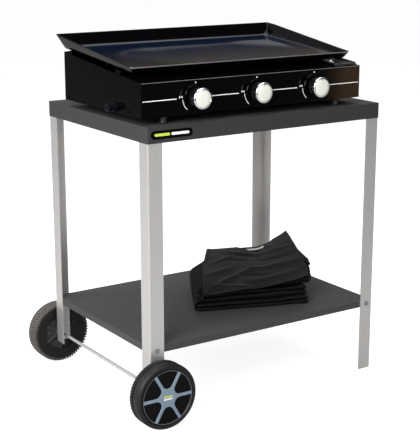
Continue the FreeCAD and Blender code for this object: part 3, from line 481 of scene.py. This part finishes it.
# profiles in millimetres: distance from the knob's axis, distance out from the panel
SKIRT_PROFILE = [(4.0, 6.0), (23.6, 6.0), (24.6, 6.6), (25.2, 8.0), (24.8, 18.0), (24.4, 26.6),
                 (24.0, 27.0), (4.0, 27.0)]
EDGE_PROFILE = [(18.0, 27.0), (24.6, 27.0), (25.6, 27.6), (26.0, 28.6), (26.0, 31.0),
                (25.7, 32.6), (24.8, 33.9), (23.4, 34.6), (22.2, 34.7), (21.6, 34.2),
                (18.0, 34.0)]
DISC_PROFILE = [(18.5, 30.0), (21.4, 33.0), (21.5, 34.0), (20.6, 34.5), (12.0, 34.9),
                (0.05, 35.0)]
POINTER_HALF, POINTER_T = 0.6 * MM, 0.6 * MM
POINTER_Z0, POINTER_Z1, POINTER_OUT = KNOB_Z + 17 * MM, KNOB_Z + 22 * MM, 34.95 * MM


def knob_look(i, x):
    """Skirt, bright edge, satin face and short pointer line of one knob."""
    body = f"knob_and_stem_{i}"
    seat = (x, PANEL_Y, KNOB_Z)
    lathe(f"knob_skirt_{i}", SKIRT_PROFILE, seat, -1, KNOB, body, closed=True,
          stands_for=(f"knob_{i}",))
    lathe(f"knob_edge_{i}", EDGE_PROFILE, seat, -1, CHROME, body, closed=True)
    lathe(f"knob_disc_{i}", DISC_PROFILE, seat, -1, DISC, body, stands_for=(f"knob_face_{i}",))
    x0, x1 = x - POINTER_HALF, x + POINTER_HALF
    pointer = [(x0, POINTER_Z0), (x1, POINTER_Z0), (x1, POINTER_Z1), (x0, POINTER_Z1)]
    slab(f"knob_pointer_{i}", pointer, PANEL_Y - POINTER_OUT, POINTER_T, GREASE, body)


for i, x in enumerate(KNOB_XS, start=1):
    knob_look(i, x)

# ------------------------------------------------------------------ printed marks
PRINT_T = 0.15 * MM
PRINT_Y = PANEL_Y - PRINT_T
PANEL_X0, PANEL_X1 = GRIDDLE_X - 0.335, GRIDDLE_X + 0.335
LINE_H = 2.1 * MM
# gaps in the line to the left and right of a knob's centre, and at the panel's ends
LINE_LEFT, LINE_RIGHT, LINE_END = 54 * MM, 34 * MM, 4 * MM
DOT_R, DOT_UP = 1.9 * MM, 36 * MM
ARC_R0, ARC_R1, ARC_FROM, ARC_TO = 36.4 * MM, 38.0 * MM, 184, 230
FLAMES_LEFT = (45.5 * MM, 39.0 * MM)
FLAME_UP, FLAME_TALL, FLAME_HALF, FLAME_STEPS = 3.2 * MM, 3.6 * MM, 1.9 * MM, 20


def printed(name, outline):
    """Thin white mark on the control panel."""
    slab(name, outline, PRINT_Y, PRINT_T, PRINT, ROOT)


def flame_outline(cx, cz):
    """Drop with a round foot and a pointed tip."""
    flame = []
    for step in range(FLAME_STEPS):
        turn = 2 * math.pi * step / FLAME_STEPS
        up = math.sin(turn)
        wide = math.cos(turn) * FLAME_HALF * (1.0 if up < 0 else (1 - up) ** 0.7 + 0.05)
        flame.append((cx + wide, cz + FLAME_TALL * up * (1.0 if up > 0 else 0.62)))
    return flame


def panel_marks():
    """Line through the knobs, and a dot, an arc and two flames at each knob."""
    starts = [PANEL_X0 + LINE_END] + [x + LINE_RIGHT for x in KNOB_XS]
    ends = [x - LINE_LEFT for x in KNOB_XS] + [PANEL_X1 - LINE_END]
    for k, (x0, x1) in enumerate(zip(starts, ends)):
        printed(f"print_line_{k}", pill(x0, x1, KNOB_Z, LINE_H, steps=4))
    for i, x in enumerate(KNOB_XS, start=1):
        printed(f"print_dot_{i}", circle(DOT_R, 18, x, KNOB_Z + DOT_UP))
        inner = arc_points(x, KNOB_Z, ARC_R0, ARC_FROM, ARC_TO, 16)
        outer = arc_points(x, KNOB_Z, ARC_R1, ARC_TO, ARC_FROM, 16)
        printed(f"print_arc_{i}", inner + outer)
        for k, left in enumerate(FLAMES_LEFT):
            printed(f"print_flame_{i}_{k}", flame_outline(x - left, KNOB_Z + FLAME_UP))


panel_marks()

# bend of the sheet along the top of the control panel, with a painted highlight: a thin tube that
# stands 0.3 of its radius proud of the panel
EDGE_Z, EDGE_R, EDGE_END, EDGE_SIDES = 0.851, 0.0010, 0.001, 12
edge_y, edge_z = PANEL_Y + EDGE_R * 0.7, EDGE_Z - EDGE_R * 1.2
bend_rows = [(x, edge_y - a, b + edge_z) for x in (PANEL_X0 + EDGE_END, PANEL_X1 - EDGE_END)
             for a, b in circle(EDGE_R, EDGE_SIDES)]
make("panel_edge", bend_rows, tube_faces(2, EDGE_SIDES), EDGE_PAINTED_HIGHLIGHT, ROOT)

# plain stripes on the badge
TRAY_FRONT_Y, BADGE_T = -0.260, 1.2 * MM
BADGE_X0, BADGE_Z, BADGE_STRIPE_H, BADGE_STRIPE_T = CART_X - 0.350, 0.730, 6.5 * MM, 0.12 * MM
badge_y = TRAY_FRONT_Y - BADGE_T - BADGE_STRIPE_T
for tone, x0_mm, x1_mm, mat in (("lime", 9, 52, LIME), ("white", 56, 107, PRINT)):
    bar = pill(BADGE_X0 + x0_mm * MM, BADGE_X0 + x1_mm * MM, BADGE_Z, BADGE_STRIPE_H)
    slab(f"badge_stripe_{tone}", bar, badge_y, BADGE_STRIPE_T, mat, ROOT)

# ------------------------------------------------------------------ cooking plate
PLATE_Y, PLATE_Z, PLATE_W, PLATE_D = -0.185, 0.866, 0.654, 0.360
TILT = math.radians(5.2)
RIM_TILT = math.radians(2.7)
RIM_H, FLARE, FLOOR_T, WALL_T = 0.038, 0.018, 0.003, 0.0026
PLATE_X = GRIDDLE_X
DRAIN_ACROSS, DRAIN_SLOPE = 0.292, 0.021
HOLE_R, HOLE_BREAK, HOLE_SIDES = 0.0130, 0.0006, 32    # radius, broken edge, corners
RING_SIDES = 40
# drain ring, in millimetres: radius, height over the floor's underside
RING_PROFILE = [(12.9, -3.0), (12.9, 3.2), (13.4, 3.7), (15.6, 3.6), (16.2, 3.0)]
LIP_AT, LIP_H = -0.030, 0.0169
TOP_RADIUS = 0.004                        # corner radius at the top of the rim
RIM_EDGE_ROWS, FLOOR_BEND_ROW = (6, 7, 8), 16    # rows at the rim's top and the floor's bend
LIP_BACK_Y = -0.17                        # the painted highlight on the rim's top edge belongs to the front lip only
PLATE_SLOTS = (ENAMEL, FLOOR_PAINTED_REFLECTION, EDGE_PAINTED_HIGHLIGHT, BEND_PAINTED_HIGHLIGHT)
ENAMEL_SLOT, FLOOR_SLOT, RIM_HIGHLIGHT_SLOT, BEND_HIGHLIGHT_SLOT = range(4)


def rim_height(slope):
    """Height of the rim over the floor's underside at a distance up the slope."""
    return min(RIM_H, LIP_H + (slope - LIP_AT) * math.tan(RIM_TILT))


def plate_point(across, slope, above):
    """Point given across the plate, up its slope and at right angles to its floor."""
    return Vector((PLATE_X + across,
                   PLATE_Y + slope * math.cos(TILT) - above * math.sin(TILT),
                   PLATE_Z + slope * math.sin(TILT) + above * math.cos(TILT)))


def pan_ring(grow, height, radius, frac, drop, per_corner=10, per_side=14):
    """One ring of the pan, a share of the way up the rim; the corners sharpen upwards."""
    half_w, low, high = PLATE_W / 2 + grow, -grow, PLATE_D + grow
    lean = FLARE / RIM_H

    def climb(slope):
        return height + (rim_height(slope) - drop - height) * frac

    corners = []
    for side, end, start in ((1, low, 270), (1, high, 0), (-1, high, 90), (-1, low, 180)):
        way = -1 if end == low else 1
        curve = []
        for cos_r, sin_r in arc_points(0, 0, 1, start, start + 90, per_corner):
            above = climb(end + way * (abs(sin_r) - 1) * radius)
            bend = radius + (TOP_RADIUS - radius) * min(1.0, above / RIM_H)
            reach = lean * above - bend
            curve.append((side * (half_w + reach) + bend * cos_r, end + way * reach + bend * sin_r,
                          above))
        corners.append(curve)
    ring = []
    for k, curve in enumerate(corners):
        ring += curve
        begin = corners[(k + 1) % 4][0]
        for step in range(1, per_side):
            t = step / per_side
            across = curve[-1][0] + (begin[0] - curve[-1][0]) * t
            slope = curve[-1][1] + (begin[1] - curve[-1][1]) * t
            above = climb(min(high, max(low, slope)))
            if k % 2 == 0:
                across = (1 if k == 0 else -1) * (half_w + lean * above)
            ring.append((across, slope, above))
    return ring


# the rings from the underside round the rim and down to the floor: growth outwards, base
# height, corner radius, share of the way up the rim, drop below its top
PAN_RINGS = [(-0.0045, 0.0, 0.010, 0.0, 0.0), (-0.0018, 0.0008, 0.012, 0.0, 0.0),
             (-0.0003, 0.0022, 0.0135, 0.0, 0.0), (0.0, 0.004, 0.014, 0.0, 0.0),
             (0.0, 0.004, 0.014, 0.3, 0.0006), (0.0, 0.004, 0.014, 0.6, 0.0006),
             (0.0, 0.004, 0.014, 0.86, 0.0006), (0.0, 0.004, 0.014, 1.0, 0.0006),
             (-0.0004, 0.004, 0.014, 1.0, 0.0), (-0.0022, 0.004, 0.014, 1.0, 0.0),
             (-WALL_T, 0.004, 0.0125, 1.0, 0.0006), (-WALL_T, 0.007, 0.0125, 0.8, 0.0006),
             (-WALL_T, 0.007, 0.0125, 0.5, 0.0006), (-WALL_T, 0.007, 0.0125, 0.2, 0.0006),
             (-WALL_T, 0.0072, 0.0125, 0.0, 0.0), (-WALL_T - 0.0010, 0.0050, 0.0118, 0.0, 0.0),
             (-WALL_T - 0.0030, 0.0036, 0.0105, 0.0, 0.0),
             (-WALL_T - 0.0060, FLOOR_T, 0.009, 0.0, 0.0)]


def band_faces(shape, a, b):
    """Quads between two rings of vertices of the same length."""
    count = len(a)
    return [shape.faces.new((a[k], a[(k + 1) % count], b[(k + 1) % count], b[k]))
            for k in range(count)]


def drain_circle(radius, sides, above):
    """Points round the drain at a height over the floor's underside."""
    return [plate_point(DRAIN_ACROSS + dx, DRAIN_SLOPE + ds, above)
            for dx, ds in circle(radius, sides)]


def fill_floor(shape, outer, inner, slot):
    """Fills the flat between the ring of the pan and the ring of the drain hole."""
    edges = [shape.edges.get((vert, loop[(k + 1) % len(loop)]))
             for loop in (outer, inner) for k, vert in enumerate(loop)]
    filled = bmesh.ops.triangle_fill(shape, use_beauty=True, use_dissolve=False, edges=edges)
    for item in filled["geom"]:
        if isinstance(item, bmesh.types.BMFace):
            item.material_index = slot


def cooking_plate():
    """Pan with its flared rim and the drain hole near its front right corner."""
    shape = bmesh.new()
    rows = [[shape.verts.new(plate_point(*spot)) for spot in pan_ring(*ring)]
            for ring in PAN_RINGS]
    for row, (a, b) in enumerate(zip(rows, rows[1:])):
        for quad in band_faces(shape, a, b):
            # the floor's bend gets a painted highlight
            quad.material_index = BEND_HIGHLIGHT_SLOT if row == FLOOR_BEND_ROW else ENAMEL_SLOT
            # the front lip's top edge gets a painted highlight
            if row in RIM_EDGE_ROWS and max(v.co.y for v in quad.verts) < LIP_BACK_Y:
                quad.material_index = RIM_HIGHLIGHT_SLOT
    hole = [[shape.verts.new(spot) for spot in drain_circle(radius, HOLE_SIDES, above)]
            for above, radius in ((0.0, HOLE_R), (FLOOR_T - HOLE_BREAK, HOLE_R),
                                  (FLOOR_T, HOLE_R + HOLE_BREAK))]
    for a, b in zip(hole, hole[1:]):
        band_faces(shape, a, b)
    fill_floor(shape, rows[0], hole[0], ENAMEL_SLOT)
    # the floor's top gets the painted reflection
    fill_floor(shape, rows[-1], hole[-1], FLOOR_SLOT)
    bmesh.ops.recalc_face_normals(shape, faces=shape.faces)
    mesh = bpy.data.meshes.new("cooking_plate")
    shape.to_mesh(mesh)
    shape.free()
    mesh.shade_smooth()
    mesh.set_sharp_from_angle(angle=math.radians(50))
    for mat in PLATE_SLOTS:
        mesh.materials.append(mat)
    obj = bpy.data.objects.new("cooking_plate_look", mesh)
    bpy.context.collection.objects.link(obj)
    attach(obj, "cooking_plate")
    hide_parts("hot_plate")


cooking_plate()

# bright pressed-in ring of the drain hole
ring_spots = [spot for radius_mm, above_mm in RING_PROFILE
              for spot in drain_circle(radius_mm * MM, RING_SIDES, above_mm * MM)]
make("drain_ring", ring_spots, ring_faces(len(RING_PROFILE), RING_SIDES), CHROME, "cooking_plate")

# ------------------------------------------------------------------ folded cover
COVER_X, COVER_Y, COVER_Z = -0.0665, -0.085, 0.2018
COVER_W, COVER_D = 0.305, 0.235
COVER_TURN = math.radians(-20)
# the neat folds: their thickness and how far their front edges lie back
FOLDS = [(0.0092, -0.006), (0.0098, -0.003), (0.0125, 0.011), (0.0105, 0.019)]
BULK_LAYERS = 5
FLAP_LEVEL = len(FOLDS) + BULK_LAYERS
FOLD_BEND, BULK_BEND, FLAP_BEND = 0.0048, 0.0036, 0.0009
BULK_SETBACK, BULK_STEP = 0.034, 0.012    # how far the looser layers' fronts lie back
LAYER_GAP = 0.02                          # free share of a level under and over each layer
CLOTH_T, HEM_T, HEM_W, FLAP_GAP = 0.0018, 0.0012, 0.007, 0.0006
SLANT = 0.040                             # the left side runs this far inwards to the back
# height of the flap at its front and back edge, and its rise towards the right along each
FRONT_H, FRONT_RISE = 0.0435, 0.035
BACK_H, BACK_RISE = 0.1035, 0.040
FOLD_WAVE, FLAP_WAVE = 0.0024, 0.0034     # unevenness of the folds and of the flap
LEAST_PILE = 0.0006                       # least height of the pile over what it lies on
# share by which the pile droops beyond the flap's left and right edge, and how soon
LEFT_DROOP, LEFT_REACH = 0.10, 0.14
RIGHT_DROOP, RIGHT_REACH = 0.14, 0.06
WRAP_T, WRAP_ROWS, WRAP_COLUMNS = 0.0030, 16, 30    # thickness and mesh of the side turn
# label: shares of the depth at its two edges, its start and length as shares of the flap's width
LABEL_V, LABEL_U0, LABEL_U, LABEL_T, LABEL_STEPS = (0.88, 0.925), 0.44, 0.26, 0.0006, 18
# soft creases of the flap: from u, v to u, v, half width and height in metres
CREASES = [(0.12, 0.14, 0.50, 0.40, 0.010, 0.0050), (0.50, 0.40, 0.99, 0.27, 0.011, 0.0050),
           (0.60, 0.56, 0.97, 0.42, 0.007, -0.0044), (0.26, 0.66, 0.47, 0.61, 0.006, -0.0038),
           (0.20, 0.90, 0.60, 0.72, 0.009, 0.0046), (0.12, 0.13, 0.42, 0.01, 0.007, 0.0052),
           (0.05, 0.01, 0.26, 0.08, 0.007, -0.0034), (0.46, 0.13, 0.97, 0.07, 0.010, 0.0038),
           (0.04, 0.36, 0.28, 0.47, 0.010, 0.0034), (0.64, 0.74, 0.97, 0.62, 0.008, 0.0040),
           (0.70, 0.95, 0.82, 0.70, 0.007, 0.0034), (0.34, 0.30, 0.66, 0.16, 0.006, -0.0026),
           (0.30, 0.80, 0.56, 0.70, 0.005, -0.0026), (0.08, 0.62, 0.34, 0.78, 0.008, 0.0030)]


def clamped(share):
    """The share, kept between 0 and 1."""
    return max(0.0, min(1.0, share))


def eased(share):
    """Smooth step from 0 to 1."""
    share = clamped(share)
    return share * share * (3 - 2 * share)


def flap_edges(v):
    """Left and right edge of the top flap at a share of the depth."""
    return 0.012 + 0.035 * v + 0.029 * v * v, 0.306 + 0.0064 * v


def crease_height(x, y):
    """Sum of the flap's creases at a point of the stack."""
    total = 0.0
    left, right = flap_edges(y / COVER_D)
    here = Vector((x, y))
    for u0, v0, u1, v1, half, rise in CREASES:
        a = Vector((left + u0 * (right - left), v0 * COVER_D))
        b = Vector((left + u1 * (right - left), v1 * COVER_D))
        t = clamped((here - a).dot(b - a) / (b - a).length_squared)
        away = (here - a.lerp(b, t)).length
        total += rise * math.exp(-(away / half) ** 2) * math.sin(math.pi * (0.15 + 0.7 * t))
    return total


def folds_height(level, x, y):
    """Height of the neat folds up to a level, uneven and a little higher to the right."""
    plain = sum(thick * clamped(level - k) for k, (thick, _) in enumerate(FOLDS))
    wave = FOLD_WAVE * noise.noise(Vector((x * 11, y * 9, level * 2.3)))
    lean = 1 + 0.16 * (x / COVER_W - 0.5) + 0.06 * clamped(y / COVER_D)
    return plain * lean + wave * min(level, 1.5)


def level_height(level, x, y):
    """Height of a surface between two layers, 0 the shelf and FLAP_LEVEL under the flap."""
    v = clamped(y / COVER_D)
    left, right = flap_edges(v)
    u = (x - left) / (right - left)
    plain = folds_height(level, x, y)
    if level <= len(FOLDS):
        return plain
    share = (level - len(FOLDS)) / BULK_LAYERS
    side = clamped(u)
    low_edge = FRONT_H + FRONT_RISE * side ** 2.2
    high_edge = BACK_H + BACK_RISE * (max(0.0, side - 0.6) / 0.4) ** 1.35 * min(1.0, 6 * (1.17 - u))
    flap = low_edge + (high_edge - low_edge) * v ** (0.85 - 0.3 * side)
    ripple = FLAP_WAVE * noise.noise(Vector((x * 13, y * 13, 4)))
    flap += (crease_height(x, y) + ripple) * share ** 3
    droop = 1 - LEFT_DROOP * clamped(-u / LEFT_REACH) ** 1.5
    droop -= RIGHT_DROOP * clamped((u - 1.0) / RIGHT_REACH)
    return plain + max(LEAST_PILE, flap * droop - plain) * share


def cover_place(x, y, z):
    """Point of the stack turned and set down on the shelf."""
    c, s = math.cos(COVER_TURN), math.sin(COVER_TURN)
    return (COVER_X + x * c - y * s, COVER_Y + x * s + y * c, COVER_Z + max(z, 0.0))


def layer_mesh(low, high, edges, front, back, bend, columns=52, rows=24):
    """Closed flat fold of cloth between two surfaces, round at its front, back and ends."""
    turns = [math.radians(a) for a in (-90, -60, -30, 0, 30, 60, 90)]
    # round the cross-section: share of the depth, curl in bend radii, share of the height
    section = [(0.0, 1 - math.cos(a), 0.5 + 0.5 * math.sin(a)) for a in turns]
    section += [(k / rows, 1 - 2 * k / rows, 1.0) for k in range(1, rows)]
    section += [(1.0, math.cos(a) - 1, 0.5 + 0.5 * math.sin(a)) for a in reversed(turns)]
    section += [(k / rows, 1 - 2 * k / rows, 0.0) for k in range(rows - 1, 0, -1)]
    ends = [bend * (1 - math.cos(math.radians(a))) / COVER_W for a in (8, 25, 45, 66)]
    stations = ends + [ends[-1] + (1 - 2 * ends[-1]) * k / columns for k in range(1, columns)]
    stations += [1 - e for e in reversed(ends)]
    verts = []
    for station in stations:
        reach = min(station, 1 - station) * COVER_W
        full = math.sqrt(max(0.0, 1 - max(0.0, 1 - reach / bend) ** 2))
        y0 = front(station) + bend * (1 - full)
        y1 = back(station) - bend * (1 - full)
        for along, curl, side in section:
            y = y0 + along * (y1 - y0) + curl * bend
            left, right = edges(y)
            x = left + station * (right - left)
            bottom, top = low(x, y), high(x, y)
            z = bottom + (0.5 + (side - 0.5) * full) * (top - bottom)
            verts.append(cover_place(x, y, z))
    return verts, tube_faces(len(stations), len(section))


def layer_outline(k):
    """Edges, front and back of one layer of the pile."""
    neat = k < len(FOLDS)
    setback = FOLDS[k][1] if neat else BULK_SETBACK + BULK_STEP * (k - len(FOLDS))
    share = max(0.0, (k - len(FOLDS)) / (BULK_LAYERS - 1))
    ruffled = -0.010 if k % 2 else 0.005
    tail = random.uniform(0.0, 0.010) if neat else 0.0
    push = random.uniform(-0.003, 0.003)

    def edges(y):
        v = clamped(y / COVER_D)
        wave = noise.noise(Vector((y * 24, k * 2.3, 1.0)))
        ruffle = noise.noise(Vector((y * 40, k * 3.1, 7.0)))
        low = SLANT * v - 0.0085
        high = flap_edges(v)[0] + 0.002
        left = low + (high - low) * eased(1.6 * share) + 0.0015 * wave
        if neat:
            return left, COVER_W + push + 0.008 * v + 0.005 * ruffle
        swell = 0.040 * math.sin(math.pi * 0.8 * v) ** 1.5
        return left, COVER_W + push + swell + ruffled + 0.009 * ruffle

    def front(u):
        return setback + 0.0045 * noise.noise(Vector((u * 4, k * 2.7, 2.0)))

    def back(_):
        return COVER_D - tail

    return edges, front, back


def side_wrap():
    """Turn of the cloth that closes the pile's left side, as a thin closed shell."""

    def skin(v, t, inwards):
        """Point a share of the depth back, a share of the height up, and so far inwards."""
        low, high = SLANT * v - 0.0130, flap_edges(v)[0] - 0.0025
        swell = 0.004 * math.sin(math.pi * t) * math.sin(math.pi * 0.85 * v)
        crease = 0.0022 * noise.noise(Vector((v * 5, t * 3.2, 9.0)))
        top = level_height(FLAP_LEVEL, high + 0.004, v * COVER_D) - 0.0045
        x = low + (high - low) * eased((t - 0.42) / 0.38) - swell + crease + inwards
        return cover_place(x, v * COVER_D, LEAST_PILE + (top - LEAST_PILE) * t)

    count = 2 * WRAP_ROWS + 2
    verts = []
    for j in range(WRAP_COLUMNS + 1):
        for k in range(count):
            row = min(k, count - 1 - k)
            t = row / WRAP_ROWS
            v = 0.05 * t + (0.995 - 0.05 * t) * j / WRAP_COLUMNS
            # the shell is thinner along its four borders
            border = min(j, WRAP_COLUMNS - j, row, WRAP_ROWS - row) < 1
            half = WRAP_T / 2 * (0.45 if border else 1.0)
            verts.append(skin(v, t, WRAP_T / 2 + (half if k > WRAP_ROWS else -half)))
    return verts, tube_faces(WRAP_COLUMNS + 1, count)


def flap_mesh():
    """Flap over the pile, thicker along its hem."""

    def under(x, y):
        return level_height(FLAP_LEVEL, x, y) + FLAP_GAP

    def over(x, y):
        left, right = flap_edges(y / COVER_D)
        near = min(x - left, right - x, y - 0.002)
        return under(x, y) + CLOTH_T + (HEM_T if near < HEM_W else 0.0)

    def front(u):
        return -0.001 + 0.004 * noise.noise(Vector((u * 3.0, 5.0, 0.0)))

    def back(u):
        """The back edge dips forward beside the middle and shows the pile behind it."""
        dip = max(0.0, 1 - abs(u - 0.62) / (0.24 if u < 0.62 else 0.20))
        return COVER_D * (0.995 - 0.20 * dip)

    return layer_mesh(under, over, lambda y: flap_edges(y / COVER_D), front, back, FLAP_BEND,
                      columns=80, rows=60)


def folded_cover():
    """Folded cloth: four neat folds, a looser pile on them and a flap over its front."""
    verts, faces = [], []

    def add(more, quads):
        start = len(verts)
        verts.extend(more)
        faces.extend(tuple(start + i for i in quad) for quad in quads)

    for k in range(FLAP_LEVEL):
        edges, front, back = layer_outline(k)
        add(*layer_mesh(lambda x, y: level_height(k + LAYER_GAP, x, y),
                        lambda x, y: level_height(k + 1 - LAYER_GAP, x, y),
                        edges, front, back, FOLD_BEND if k < len(FOLDS) else BULK_BEND))
    add(*side_wrap())
    pile_faces = len(faces)
    add(*flap_mesh())
    obj = make("cover_cloth", verts, faces, FABRIC, ROOT, sharp_deg=80,
               stands_for=("folded_cover",))
    # the pile and the side turn get the darker copy of the cloth: painted shade
    obj.data.materials.append(PILE_PAINTED_SHADE)
    for face in obj.data.polygons:
        face.material_index = 1 if face.index < pile_faces else 0


def cover_label():
    """Plain sewn-on strip on the pile, where the flap's back edge dips."""
    strip = []
    for v in LABEL_V:
        left, right = flap_edges(v)
        for k in range(LABEL_STEPS + 1):
            x = left + (LABEL_U0 + LABEL_U * k / LABEL_STEPS) * (right - left)
            y = v * COVER_D
            strip.append(cover_place(x, y, level_height(FLAP_LEVEL, x, y) + 0.0008))
    row = LABEL_STEPS + 1
    quads = [(k, k + 1, row + k + 1, row + k) for k in range(LABEL_STEPS)]
    label = make("cover_label", strip, quads, LABEL, ROOT)
    label.modifiers.new("thickness", "SOLIDIFY").thickness = LABEL_T


folded_cover()
cover_label()

# ------------------------------------------------------------------ floor, room, lights, camera
FLOOR_HALF = 60
GLOW_IN_LIGHT, GLOW_FOR_LENS = 0.04, 0.84
BACKDROP = (0.96, 0.96, 0.96, 1)
# colour of the room by height of the direction, 0 level and 1 straight up
ROOM_RAMP = [(0.0, (0.12, 0.12, 0.12)), (0.13, (0.09, 0.09, 0.09)), (0.20, (0.07, 0.08, 0.10)),
             (0.30, (0.07, 0.07, 0.08)), (0.34, (0.75, 0.74, 0.75)), (0.52, (0.85, 0.85, 0.85)),
             (1.0, (1.0, 1.0, 1.0))]
ROOM_DEPTH, ROOM_STRENGTH = (-0.4, 0.2), (0.10, 0.62)
# place, point aimed at, size and power of the lamps
LAMPS = {"key_left": ((-2.6, -1.6, 2.0), (0, 0, 0.5), (1.8, 2.2), 165),
         "front_fill": ((0.6, -3.4, 1.5), (0, 0, 0.5), (2.4, 1.6), 26),
         "top_soft": ((0.2, 0.3, 3.2), (0, 0, 0.4), (2.6, 2.6), 75),
         "left_back": ((-2.8, 1.6, 1.7), (-0.8, 0.6, 0), (1.6, 1.6), 50)}
WARM_CARD = ((2.62, -2.36, 0.36), (0.3, -0.235, 0.8), (0.9, 0.8), 8.0)
WARM = (1.0, 0.6, 0.32)


def studio_floor():
    """Pale floor; it glows for the lens only, so it is white and lights nothing from below."""
    mat = finish("pale_floor", (0.42, 0.42, 0.42, 1), 0.9, specular=0.1, speckle=0.01, scale=4)
    tree = mat.node_tree
    shader = tree.nodes["Principled BSDF"]
    shader.inputs["Emission Color"].default_value = (1, 1, 1, 1)
    lens_ray = tree.nodes.new("ShaderNodeLightPath").outputs["Is Camera Ray"]
    glow = map_range(tree, lens_ray, (0, 1), (GLOW_IN_LIGHT, GLOW_FOR_LENS))
    tree.links.new(glow, shader.inputs["Emission Strength"])
    mesh = bpy.data.meshes.new("floor")
    corners = [(x * FLOOR_HALF, y * FLOOR_HALF, 0) for x, y in ((-1, -1), (1, -1), (1, 1), (-1, 1))]
    mesh.from_pydata(corners, [], [(0, 1, 2, 3)])
    mesh.materials.append(mat)
    floor = bpy.data.objects.new("floor", mesh)
    bpy.context.collection.objects.link(floor)


def studio_room():
    """Room that lights and is mirrored in the object, with a plain backdrop for the lens."""
    world = bpy.data.worlds.new("studio")
    bpy.context.scene.world = world
    world.use_nodes = True
    tree = world.node_tree
    sky = tree.nodes["Background"]
    direction = tree.nodes.new("ShaderNodeTexCoord")
    split = tree.nodes.new("ShaderNodeSeparateXYZ")
    ramp = tree.nodes.new("ShaderNodeValToRGB")
    tree.links.new(direction.outputs["Generated"], split.inputs["Vector"])
    tree.links.new(split.outputs["Z"], ramp.inputs["Fac"])
    tree.links.new(ramp.outputs["Color"], sky.inputs["Color"])
    stops = ramp.color_ramp.elements
    for stop, (_, colour) in zip((stops[0], stops[1]), (ROOM_RAMP[0], ROOM_RAMP[-1])):
        stop.color = (*colour, 1)
    for position, colour in ROOM_RAMP[1:-1]:
        stops.new(position).color = (*colour, 1)
    # the room is darker in front of the object than behind it
    strength = map_range(tree, split.outputs["Y"], ROOM_DEPTH, ROOM_STRENGTH)
    tree.links.new(strength, sky.inputs["Strength"])
    backdrop = tree.nodes.new("ShaderNodeBackground")
    backdrop.inputs["Color"].default_value = BACKDROP
    seen = tree.nodes.new("ShaderNodeLightPath")
    pick = tree.nodes.new("ShaderNodeMixShader")
    tree.links.new(seen.outputs["Is Camera Ray"], pick.inputs["Fac"])
    tree.links.new(sky.outputs["Background"], pick.inputs[1])
    tree.links.new(backdrop.outputs["Background"], pick.inputs[2])
    tree.links.new(pick.outputs["Shader"], tree.nodes["World Output"].inputs["Surface"])


def area_light(name, place, look_at, size, power, colour=(1, 1, 1)):
    """Rectangular lamp aimed at a point."""
    lamp = bpy.data.lights.new(name, "AREA")
    lamp.shape = "RECTANGLE"
    lamp.size, lamp.size_y = size
    lamp.energy = power
    lamp.color = colour
    obj = bpy.data.objects.new(name, lamp)
    bpy.context.collection.objects.link(obj)
    obj.location = place
    obj.rotation_mode = "QUATERNION"
    obj.rotation_quaternion = (Vector(look_at) - Vector(place)).to_track_quat("-Z", "Y")
    return obj


def studio_lights():
    """Soft lamps, and a warm card that is mirrored in the control panel only."""
    for name, facts in LAMPS.items():
        area_light(name, *facts)
    warm_card = area_light("warm_card", *WARM_CARD, WARM)
    warm_card.visible_diffuse = False
    panel_only = bpy.data.collections.new("lit_by_warm_card")
    panel_only.objects.link(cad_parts["front_panel"])
    warm_card.light_linking.receiver_collection = panel_only


def studio_camera():
    """Camera that looks at the trolley from the left of its front and from above."""
    camera = bpy.data.objects.new("camera", bpy.data.cameras.new("camera"))
    bpy.context.collection.objects.link(camera)
    camera.location = (-1.7518 + CART_X, -2.6149, 1.2139)
    yaw, pitch = math.radians(33.67), math.radians(14.30)
    camera.rotation_euler = (math.pi / 2 - pitch, 0, -yaw)
    camera.data.sensor_width = 36
    camera.data.lens = 94.74
    camera.data.clip_end = 200
    bpy.context.scene.camera = camera


studio_floor()
studio_room()
studio_lights()
studio_camera()
bpy.context.scene.view_settings.view_transform = "Standard"
